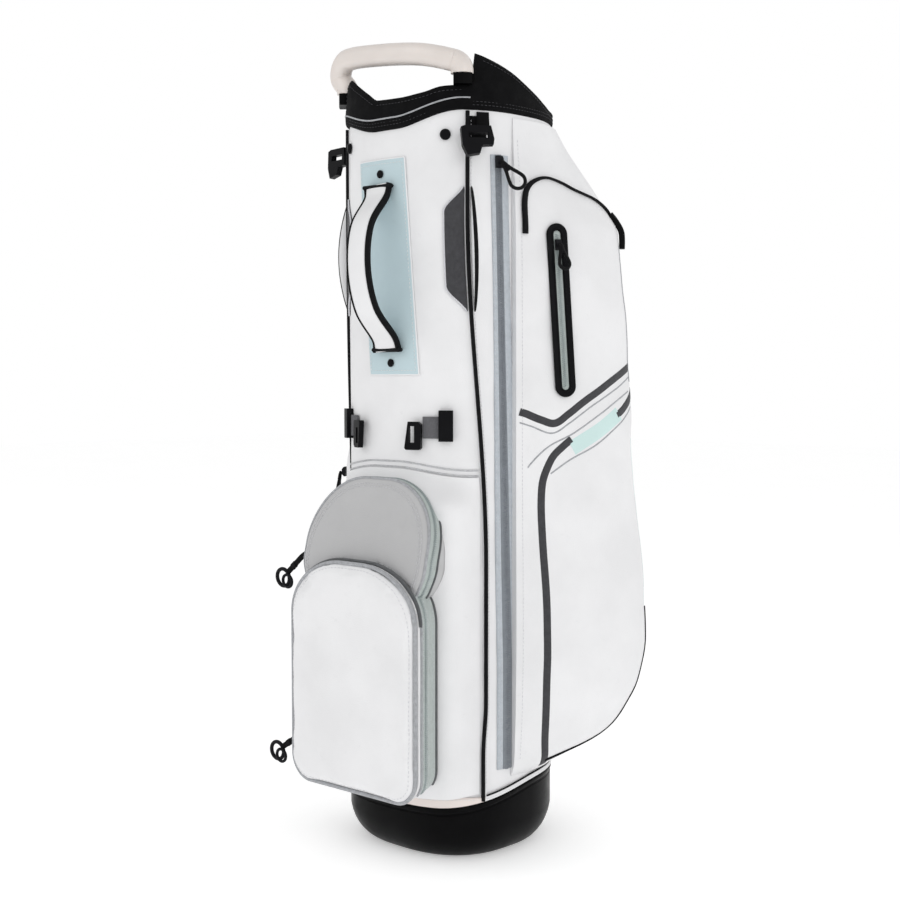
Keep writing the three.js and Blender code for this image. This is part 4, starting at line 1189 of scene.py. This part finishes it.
# Band of zip along the pocket's wall, over the arch and down both sides.
def ball_zip():
    count = range(8, 124)
    line = lambda depth, off: at_depth([ball_outline(depth, off)[k] for k in count], depth)
    lean = wall_lean(BALL_HIGH - BALL_CROWN)
    section = [(120, 0.2), (158, 0.2), (158, 1.2), (151, 1.6), (142, 1.7), (131, 1.7), (120, 1.2)]
    loft("ball_zip_tape", across_line(line, section), green_tape, slot="zip_tape")
    sweep("ball_zip_front_piping", line(160, 0.9), oval(1.1, 1.1, 8), lean, piping_grey)
    sweep("ball_zip_back_piping", line(122, 1.2), oval(2.0, 2.0, 12), lean, piping_dark)
    # Dark binding over the crown of the face, thickest at the top: a bound edge whose dark grey also paints
    # the shadow gap above the face.
    crown = at_depth(ball_outline(BALL_FRONT, 0.5)[30:104], BALL_FRONT - 2.6)
    thin_ends = lambda t: oval(0.4 + 2.1 * math.sin(math.pi * t) ** 0.4, 2.3, 12)
    sweep("ball_crown_binding", crown, thin_ends, lean, piping_dark)
    zip_teeth("ball_zip_teeth", line(151, 1.6), lean, teeth_pale, wide=3.6, slot="zip_metal")
    for n, depth in enumerate((157, 145, 128)):
        stitches(f"ball_zip_stitching_{n + 1}", line(depth, 1.5), lean, length=2.6, space=1.4)


# Outline of the valuables pocket, which narrows below the ball pocket's crown.
def valuables_arch(inset):
    narrow = lambda z: mix(0.76, 1, ease(z, 275, 335))
    return [(x * narrow(z), z) for x, z in
            arch(VALUABLES_HALF - inset, VALUABLES_LOW, VALUABLES_HIGH - inset, 20, VALUABLES_CROWN)]


# The valuables pocket is a wedge: its front leans out towards the foot. part runs from 0 at its back
# to 1 at its front.
def valuables_depth(z, part):
    front = mix(VALUABLES_FOOT, VALUABLES_TOP, ease(z, 310, VALUABLES_HIGH + 20))
    return mix(VALUABLES_BACK, front, part)


def wedge(outline, part, forward=0.0):
    return [Vector((x, -valuables_depth(z, part) - forward, z)) for x, z in outline]


def valuables_pocket():
    rows = [wedge(valuables_arch(9 * (1 - t)), 0.02 + 0.85 * t) for t in steps(8)]
    edge = [(0.2, 0.93), (1, 0.96), (2.6, 0.98), (5, 0.992), (8, 0.996)]
    rows += [wedge(valuables_arch(inset), part) for inset, part in edge]
    for t in steps(10, 0.9, 0.0)[:-1]:
        shrunk = [(x * t, mix(365, z, t)) for x, z in valuables_arch(8)]
        rows.append(wedge(shrunk, 0.996, 0.4 * (1 - t * t)))
    obj = loft("valuables_pouch", rows, grey_leather, stands_for=["valuables_pocket"], slot="grey_leather")
    cut(obj, tube_block(200, 480), belly_block(-1.0), ball_block(1.0))
    obj.data.materials.clear()
    obj.data.materials.append(grey_leather)
    out = Vector((0, -1, 0))
    plan = valuables_arch(9)
    top = [k for k in range(len(plan)) if plan[k][1] > 300][:-2]
    for n, inset in enumerate((6, 9)):
        path = wedge([valuables_arch(inset)[k] for k in top], 0.998)
        stitches(f"valuables_stitching_{n + 1}", path, lambda p: out, radius=0.32)
    rim = wedge([valuables_arch(-0.2)[k] for k in top], 0.94)
    sweep("valuables_piping", rim, oval(1.6, 1.6, 10), lambda p: out, piping_grey)
    valuables_zip(top)


# Zip band just behind the front edge.
def valuables_zip(top):
    def line(behind, off):
        spots = []
        for k in top:
            z = valuables_arch(0)[k][1]
            part = 1 - behind / (valuables_depth(z, 1) - VALUABLES_BACK)
            x, z = valuables_arch(9 * max(0, 1 - part / 0.87) - off)[k]
            spots.append(Vector((x, -valuables_depth(z, part), z)))
        return spots

    lean = wall_lean(VALUABLES_HIGH - VALUABLES_CROWN)
    section = [(24, 0.1), (5, 0.1), (5, 1.0), (8, 1.4), (12, 1.6), (18, 1.4), (24, 1.0)]
    loft("valuables_zip_tape", across_line(line, section), green_tape, slot="zip_tape")
    sweep("valuables_back_piping", line(25, 0.8), oval(1.7, 1.7, 10), lean, piping_dark)
    zip_teeth("valuables_zip_teeth", line(12, 1.6), lean, teeth_pale, wide=3.4, slot="zip_metal")


# ---------------------------------------------------------------- side pockets
# Each pocket's face from front to back, and how full it stands at each height.
SIDE_LINE = [(119, -31), (129, -20), (145, 0), (160, 28), (171, 62), (176, 92), (174, 112), (160, 122),
             (133, 119), (108, 104)]
LEFT_LINE = [(108, -62), (123, -57), (137, -32), (145, 5), (147, 45), (143, 78), (129, 101), (107, 106)]
SIDE_DEPTH = [(92, 0.03), (97, 0.34), (104, 0.62), (116, 0.82), (138, 0.96), (175, 1.1), (240, 1.2),
              (458, 1.01), (500, 1), (706, 0.82), (730, 0.68), (752, 0.54), (776, 0.37), (802, 0.18),
              (824, 0.05)]
LEFT_DEPTH = [(92, 0.03), (97, 0.2), (104, 0.45), (122, 0.75), (150, 0.95), (190, 1), (432, 1), (452, 0.82),
              (464, 0.5), (470, 0.15)]
FOOT_LIFT, LEVEL_FOOT = 46, 0.22


class Pocket:
    """Full pocket: place runs across its face from front to back, z up it."""

    def __init__(self, line, depth, side):
        self.fine = smooth([(x, y, 0) for x, y in line], 24)
        self.depth = depth
        self.side = side

    def line(self, place):
        at = min(max(place, 0), 1) * (len(self.fine) - 1)
        k = min(int(at), len(self.fine) - 2)
        return self.fine[k].lerp(self.fine[k + 1], at - k)

    def point(self, place, z, off=0.0):
        full = self.line(place)
        angle = math.degrees(math.atan2(full.x, -full.y))
        behind = max(place - LEVEL_FOOT, 0) / (1 - LEVEL_FOOT)
        lift = FOOT_LIFT * behind * (1 - ease(z, 120, 260))
        full.z = z
        p = on_tube(angle, z, 0.8).lerp(full, along(self.depth, max(z - lift, self.depth[0][0])))
        p.x *= self.side
        return p + self.out(place, z) * off if off else p

    def out(self, place, z):
        ahead = self.point(place + 0.02, z) - self.point(place - 0.02, z)
        return Vector((ahead.y, -ahead.x, 0)).normalized() * self.side

    def inner(self, place, z):
        full = self.line(place)
        return on_tube(self.side * math.degrees(math.atan2(full.x, -full.y)), z, 0.2)

    def lean(self, p):
        # The nearest place, by the direction of the point round the bag.
        best = min(range(21), key=lambda i: (self.point(i / 20, p.z) - p).length)
        return self.out(best / 20, p.z)


side = Pocket(SIDE_LINE, SIDE_DEPTH, 1)
left = Pocket(LEFT_LINE, LEFT_DEPTH, -1)


def pocket_body(name, pocket, node, columns, rows, wrinkle, look):
    places = crowded(columns)
    low, high = pocket.depth[0][0], pocket.depth[-1][0]
    rings = []
    for z in crowded(rows, low, high):
        outside = []
        for t in places:
            p = pocket.point(t, z)
            fade = min(1, 10 * t * (1 - t)) * ease(z, low, low + 40) * (1 - ease(z, high - 60, high))
            soft = wavy(p, 70, 7) * 2.2 + wavy(p, 30, 9) * 0.7
            outside.append(p + pocket.out(t, z) * (soft - 0.8) * fade * wrinkle)
        rings.append(outside + [pocket.inner(t, z) for t in reversed(places)])
    obj = loft(name, rings, look, stands_for=[node], slot="white_leather")
    return obj


# Path on a pocket's face through (place, z) pairs.
def on_face(pocket, spots, count=8):
    flat = smooth([(t * 200, z, 0) for t, z in spots], count)
    return [pocket.point(q.x / 200, q.y) for q in flat]


def side_pocket():
    obj = pocket_body("side_pocket_body", side, "side_pocket", 60, 110, 1.0, white_leather)
    skin = Skin(obj)
    pocket_stripes(skin, side.lean)
    pocket_patches(skin, side.lean)
    pocket_edges(skin, side.lean)
    storm_zip(skin)
    arch_trim(skin)


# Dark stripes: a chevron across the face, a short one behind it, and the long one up the front. Grey
# seams run beside them.
def pocket_stripes(skin, lean):
    stripes = [
        ("chevron", [(0.03, 502), (0.1, 499), (0.17, 493), (0.235, 489), (0.3, 500), (0.39, 518), (0.53, 541),
                     (0.7, 556)]),
        ("short_stripe", [(0.52, 497), (0.6, 510), (0.7, 526)]),
        ("long_stripe", [(0.307, 471), (0.27, 463), (0.23, 453), (0.2, 440), (0.178, 425), (0.17, 405),
                         (0.172, 360), (0.184, 300), (0.188, 240), (0.19, 190), (0.196, 150), (0.204, 130),
                         (0.22, 112), (0.235, 102)]),
    ]
    for name, spots in stripes:
        strip(f"pocket_{name}", skin, on_face(side, spots), lean, 8.5, 0.5, charcoal_nylon,
              slot="charcoal_fabric")
    seams = [
        ("upper_fold", [(0.03, 490), (0.12, 486), (0.225, 478), (0.3, 489), (0.42, 512), (0.56, 532),
                        (0.7, 545)]),
        ("lower_fold", [(0.1, 440), (0.2, 462), (0.32, 478), (0.44, 500), (0.54, 516), (0.62, 524)]),
        ("patch_edge", [(0.215, 433), (0.3, 448), (0.4, 462), (0.52, 484), (0.64, 506)]),
    ]
    for name, spots in seams:
        sweep(f"pocket_{name}", skin.line(on_face(side, spots), lean), oval(0.9, 0.45, 8), lean, piping_grey)


def pocket_patches(skin, lean):
    patch = [(0.31, 461), (0.42, 479), (0.53, 499)]
    strip("pocket_patch", skin, on_face(side, patch), lean, 17, 0.3, teal_leather, slot="pale_blue")
    teal = [(0.69, 470), (0.7, 400), (0.7, 330), (0.7, 270), (0.69, 236)]
    leaf = lambda t: 9 * math.sin(math.pi * (0.08 + 0.84 * t)) ** 0.5
    strip("pocket_edge_panel", skin, on_face(side, teal), lean, leaf, 0.3, teal_leather, slot="pale_blue")


# Seams up the front and rear, and a dark binding along the foot and up the lower rear edge.
def pocket_edges(skin, lean):
    rear = [side.point(0.76, z) for z in steps(60, 150, 700)]
    sweep("pocket_rear_seam", skin.line(rear, lean), oval(1.2, 1.2, 8), lean, piping_grey)
    front_edge = [skin.at(side.point(0.055, z), side.out(0.055, z)) for z in steps(120, 112, 806)]
    stitches("pocket_front_stitching", front_edge, lean, lift=0.1)
    foot = [(0.23, 108), (0.3, 113), (0.36, 117), (0.44, 122), (0.52, 128), (0.59, 136), (0.635, 153),
            (0.657, 178), (0.668, 212), (0.67, 245), (0.672, 275)]
    line = skin.line(on_face(side, foot, 10), lean, 0.2)
    sweep("pocket_foot_binding", line, lambda t: oval(mix(1.9, 0.8, t), 1.2, 8), lean, piping_black,
          slot="black_fabric")
    # Grey line laid where the face turns out of view near the rear: painted edge shade.
    rear_shade_line = [side.point(0.655, z) for z in steps(60, 535, 690)]
    sweep("pocket_edge_line", skin.line(rear_shade_line, lean), oval(1.0, 0.8, 8), lean, piping_grey)


def arch_trim(skin):
    trim = [(0.085, 698), (0.097, 738), (0.141, 752.5), (0.245, 761), (0.331, 757.5), (0.408, 750),
            (0.52, 743), (0.6, 737), (0.69, 727)]
    flat = smooth([(t * 200, z, 0) for t, z in trim], 8)
    path = [skin.at(side.point(q.x / 200, q.y), side.out(q.x / 200, q.y), 1.6) for q in flat]
    thin = lambda t: mix(3.9, 1.3, ease(t, 0.12, 0.45))
    sweep("pocket_arch_piping", path, lambda t: oval(thin(t), 2.4, 14), radial, piping_black,
          stands_for=["pocket_arch_trim"], slot="black_fabric")
    tab = [(0.69, 727, 2.0), (0.7, 719, 3.6), (0.706, 708, 4.6), (0.71, 698, 4.4), (0.712, 688, 3.0)]
    line = smooth([side.point(t, z, off) for t, z, off in tab], 5)
    sweep("pocket_pull_tab", line, strap(14, 7.0), radial, black_webbing, stands_for=["pocket_tab"],
          slot="black_fabric")


STORM_PLACE, STORM_LEAN, STORM_LOW, STORM_HIGH = 0.28, 0.024, 518, 710
STORM_WIDE = 25


# Welded zip: a moulded frame with a raised inner lip round the teeth.
def storm_zip(skin):
    low = side.point(STORM_PLACE, STORM_LOW)
    high = side.point(STORM_PLACE - STORM_LEAN, STORM_HIGH)
    out = side.out(STORM_PLACE, (STORM_LOW + STORM_HIGH) / 2)
    line = (high - low).normalized()
    out = (out - line * out.dot(line)).normalized()
    across = line.cross(out)
    centre = (low + high) / 2 + out * 1.2
    length = (high - low).length

    def stadium(width, long, lift):
        loop = []
        for k in range(48):
            t = 2 * math.pi * k / 48
            shift = (long - width) / 2 * (1 if math.sin(t) >= 0 else -1)
            spot = centre + out * lift
            loop.append(spot + across * math.cos(t) * width / 2 + line * (math.sin(t) * width / 2 + shift))
        return loop

    profile = [(STORM_WIDE, 0.1), (STORM_WIDE, 1.6), (24.2, 2.2), (22.6, 2.4), (14.5, 2.4), (13.6, 3.2),
               (11.4, 3.2), (10.2, 2.4), (9, 1.8), (9, 0.1)]
    rows = [stadium(w, length - STORM_WIDE + w, lift) for w, lift in profile]
    loft("storm_zip_surround", rows, buckle_black, closes=True, stands_for=["storm_zip_frame"],
         slot="black_fabric", sharp=50)
    bed = ((9.2, -2.5), (9.2, 0.6), (6, 0.9), (2, 0.95))
    bed = [stadium(w, length - STORM_WIDE + w, lift) for w, lift in bed]
    loft("storm_zip_tape", bed, green_tape, slot="zip_tape")
    run = [centre + line * t + out * 1.0 for t in steps(80, -length / 2 + 12, length / 2 - 12)]
    zip_teeth("storm_zip_teeth", run, lambda p: out, teeth_pale, tall=1.2, lift=0.3, slot="zip_metal")


def zip_angle(z):
    return mix(ZIP_LOW_ANGLE, ZIP_TOP_ANGLE, max(0, (z - ZIP_STRAIGHT) / (ZIP_HIGH - ZIP_STRAIGHT)))


# Long zip up the side: a wide pale tape, broader towards its foot, with a darker zip down its middle.
def long_zip():
    heights = steps(120, ZIP_LOW, ZIP_HIGH)
    wide = lambda z: mix(1, 0.66, ease(z, 250, 690))

    def across(z, d, off):
        return on_tube(zip_angle(z) + d * wide(z), z, off)

    band = ((-8, 0.1), (-7.8, 0.9), (-5, 1.5), (-1, 1.8), (4, 1.6), (9, 0.9), (9.2, 0.1))
    line = lambda d, off: [across(z, d, off) for z in heights]
    loft("side_zip_band", across_line(line, band), pale_tape, stands_for=["side_zip_tape"], slot="zip_tape")
    core = ((-4.4, 1.2), (-4.2, 2.0), (-1.2, 2.4), (1.8, 2.1), (2.0, 1.2))
    loft("side_zip_core", across_line(line, core), zip_tape_look, slot="zip_tape")
    zip_teeth("side_zip_teeth", line(-1.2, 2.3), radial, teeth_grey, wide=4.4, tall=0.9, pitch=2.6,
              slot="zip_metal")
    for n, d in enumerate((-7.2, -5.1, 3.2, 8.2)):
        stitches(f"side_zip_stitching_{n + 1}", line(d, 1.3), radial)


def left_pocket():
    obj = pocket_body("left_pocket_body", left, "left_pocket", 44, 80, 0.9, white_leather)
    skin = Skin(obj)
    lean = left.lean
    # Zip down its front edge and over the top.
    spots = [(0.2, 120), (0.2, 200), (0.2, 300), (0.2, 400), (0.22, 430), (0.3, 446), (0.45, 450), (0.6, 450),
             (0.7, 446)]
    path = on_face(left, spots, 12)
    strip("left_zip_band", skin, path, lean, 16, 0.7, zip_tape_look, slot="zip_tape")
    centre = skin.line(path, lean)
    zip_teeth("left_zip_teeth", centre, lean, teeth_dark, wide=3.6, tall=1.3, lift=0.9, slot="zip_metal")
    for n, t in enumerate((0.13, 0.27)):
        row = [skin.at(left.point(t, z), left.out(t, z)) for z in steps(80, 118, 420)]
        stitches(f"left_pocket_stitching_{n + 1}", row, lean, lift=0.1)


# ---------------------------------------------------------------- back pad
PAD_MIDDLE, PAD_HALF_ANGLE, PAD_LOW, PAD_HIGH = 180, 28, 250, 640


def back_pad():
    turn = lambda u: PAD_MIDDLE + mix(-PAD_HALF_ANGLE, PAD_HALF_ANGLE, u)
    place = lambda u, v, off: on_tube(turn(u), mix(PAD_LOW, PAD_HIGH, v), off)

    def rise(u, v):
        channel = 1 - 0.45 * sum(math.exp(-(((v - k) / 0.012) ** 2)) for k in (0.25, 0.5, 0.75))
        full = 3 + 8.5 * math.cos(math.radians((turn(u) - PAD_MIDDLE) * 2.6))
        return 1.0 + (full - 1.0) * pillow(u, v, 0.12, 0.04) * channel

    obj = panel("back_pad_cushion", place, crowded(44), steps(120), rise, pad_mesh, inner=0.2,
                stands_for=["back_pad"], slot="charcoal_fabric")
    edge = [place(u, v, 1.6) for u, v in edges()]
    sweep("back_pad_binding", edge, oval(2.0, 1.6, 10), radial, piping_black)


# ---------------------------------------------------------------- clips, sliders and pullers
UPPER_CLIP_ANGLE, LOWER_CLIP_ANGLE, LOWER_CLIP_HIGH = 56, 29.2, 485


def clips():
    for name, turn in SIDES:
        for node, edge in ((f"upper_clip_buckle_{name}", 1.0), (f"lower_clip_buckle_{name}", 1.0),
                           (f"lower_clip_anchor_{name}", 1.2)):
            dress(node, buckle_black, edge)
        a = turn * UPPER_CLIP_ANGLE
        web = smooth([on_tube(a, 826, 3), on_tube(a, 818, 4), on_tube(a, 810.5, 6)], 8)
        sweep(f"upper_webbing_{name}", web, strap(14, 2.2), radial, black_webbing,
              stands_for=[f"upper_clip_web_{name}"], slot="black_fabric")
        tail = [on_tube(turn * 53.5, z, 0.9) for z in steps(12, 790, 822)]
        sweep(f"upper_webbing_tail_{name}", tail, strap(20, 1.2), radial, black_webbing)
        middle = turn * LOWER_CLIP_ANGLE
        band = [on_tube(middle + d, LOWER_CLIP_HIGH, 2.4) for d in steps(20, -4.3, 4.3)]
        sweep(f"lower_webbing_{name}", band, strap(24, 1.9), radial, grey_webbing,
              stands_for=[f"lower_clip_web_{name}"], slot="black_fabric")


RING_FACES = (0.25, -1, 0.1)     # way the flat of a ring looks


# Puller on a slider: its flat side turns to out, x points along it and y across it.
def puller(name, drop, out, width, length, thick, ring_end):
    x = Vector(drop).normalized()
    z = Vector(RING_FACES) if ring_end else Vector(out).normalized()
    z = (z - x * z.dot(x)).normalized()
    place = (PIVOTS[f"{name}_puller"], x, z.cross(x), z)
    (ring_pull if ring_end else loop_pull)(name, *place, width / 2 - thick / 2, length, thick / 2)


# Strap that holds a metal ring, half wide to the middle of its wire, and a smaller ring in it.
def ring_pull(name, pivot, x, y, z, half, length, r):
    body = f"{name}_puller"
    flat = lambda p: z
    centre = pivot + x * (length - half - r)
    turns = steps(40, 0, 2 * math.pi)[:-1]
    circle = [centre + x * half * math.cos(t) + y * half * math.sin(t) for t in turns]
    hoop(f"{name}_ring", circle, oval(r, r, 12), flat, metal, body=body, stands_for=[body], slot="cord_black",
         sharp=80)
    small = [centre - x * 5 + y * 8 + (p - centre) * 0.72 + z * 2.2 for p in circle]
    hoop(f"{name}_split_ring", small, oval(r * 0.8, r * 0.8, 12), flat, metal, body=body, sharp=80)
    near = length - 2 * half - 2 * r
    web = smooth([pivot + x * 0.6, pivot + x * near * 0.5, pivot + x * (near + r)], 8)
    sweep(f"{name}_strap", web, lambda t: oval(mix(1.8, 3.4, ease(t, 0, 0.3)), 1.5, 14, 3), flat,
          black_webbing, body=body)
    keeper = [pivot + x * t for t in (near * 0.62, near * 0.78)]
    sweep(f"{name}_keeper", keeper, oval(4.0, 2.1, 14, 3), flat, buckle_black, body=body)


# Cord loop on the slider's eye, pinched by a crimp.
def loop_pull(name, pivot, x, y, z, half, length, r):
    body = f"{name}_puller"
    flat = lambda p: z
    spots = [(1.2, 0.8), (length * 0.3, half * 0.35), (length * 0.55, half * 0.8), (length - half - r, half)]
    turns = steps(8, 0.3, math.pi - 0.3)
    arc = [(length - half - r + half * math.sin(t), half * math.cos(t)) for t in turns]
    outline = spots + arc + [(a, -b) for a, b in reversed(spots)]
    path = smooth([pivot + x * a + y * b for a, b in outline], 5)
    path = [pivot + x * 0.6 - y * 0.2] + path + [pivot + x * 0.6 + y * 0.2]
    sweep(f"{name}_cord", path, oval(r, r, 10), flat, black_cord, body=body, stands_for=[body],
          slot="cord_black")
    grip = [pivot + x * t for t in steps(10, length * 0.1, length * 0.34)]
    sweep(f"{name}_crimp", grip, lambda t: oval(1.5 + 2.4 * t, r + 0.6, 14, 2.6), flat, buckle_black,
          body=body)


# Name, way it hangs, outside, width, length, thickness, and whether it ends in a ring.
PULLS = [
    ("side_zip", (0.497, 0.389, -0.775), (0.907, -0.421, -0.006), 22, 38, 4, False),
    ("storm_zip", (0.24, 0.02, -0.97), (0.896, -0.442, 0.033), 16, 30, 4, False),
    ("left_zip", (-0.12, -0.07, -0.99), (-0.864, -0.504, 0), 13.5, 29, 3, False),
    ("ball_zip", (-0.84, 0.0, -0.54), (-0.933, 0.360, 0), 25, 64, 4.6, True),
    ("valuables_zip", (-0.776, 0.03, -0.63), (-0.985, 0.170, 0), 25, 68, 4.6, True),
]


def pullers():
    for name, *shape in PULLS:
        puller(name, *shape)
        dress(f"{name}_slider", metal, 0.7)


studio()
base()
tube()
hem()
insides()
collar()
top_handle()
corner_seams()
grips()
snaps()
colour_panel()
grab_handle()
lower_panel()
ball_pocket()
valuables_pocket()
side_pocket()
long_zip()
left_pocket()
back_pad()
clips()
pullers()
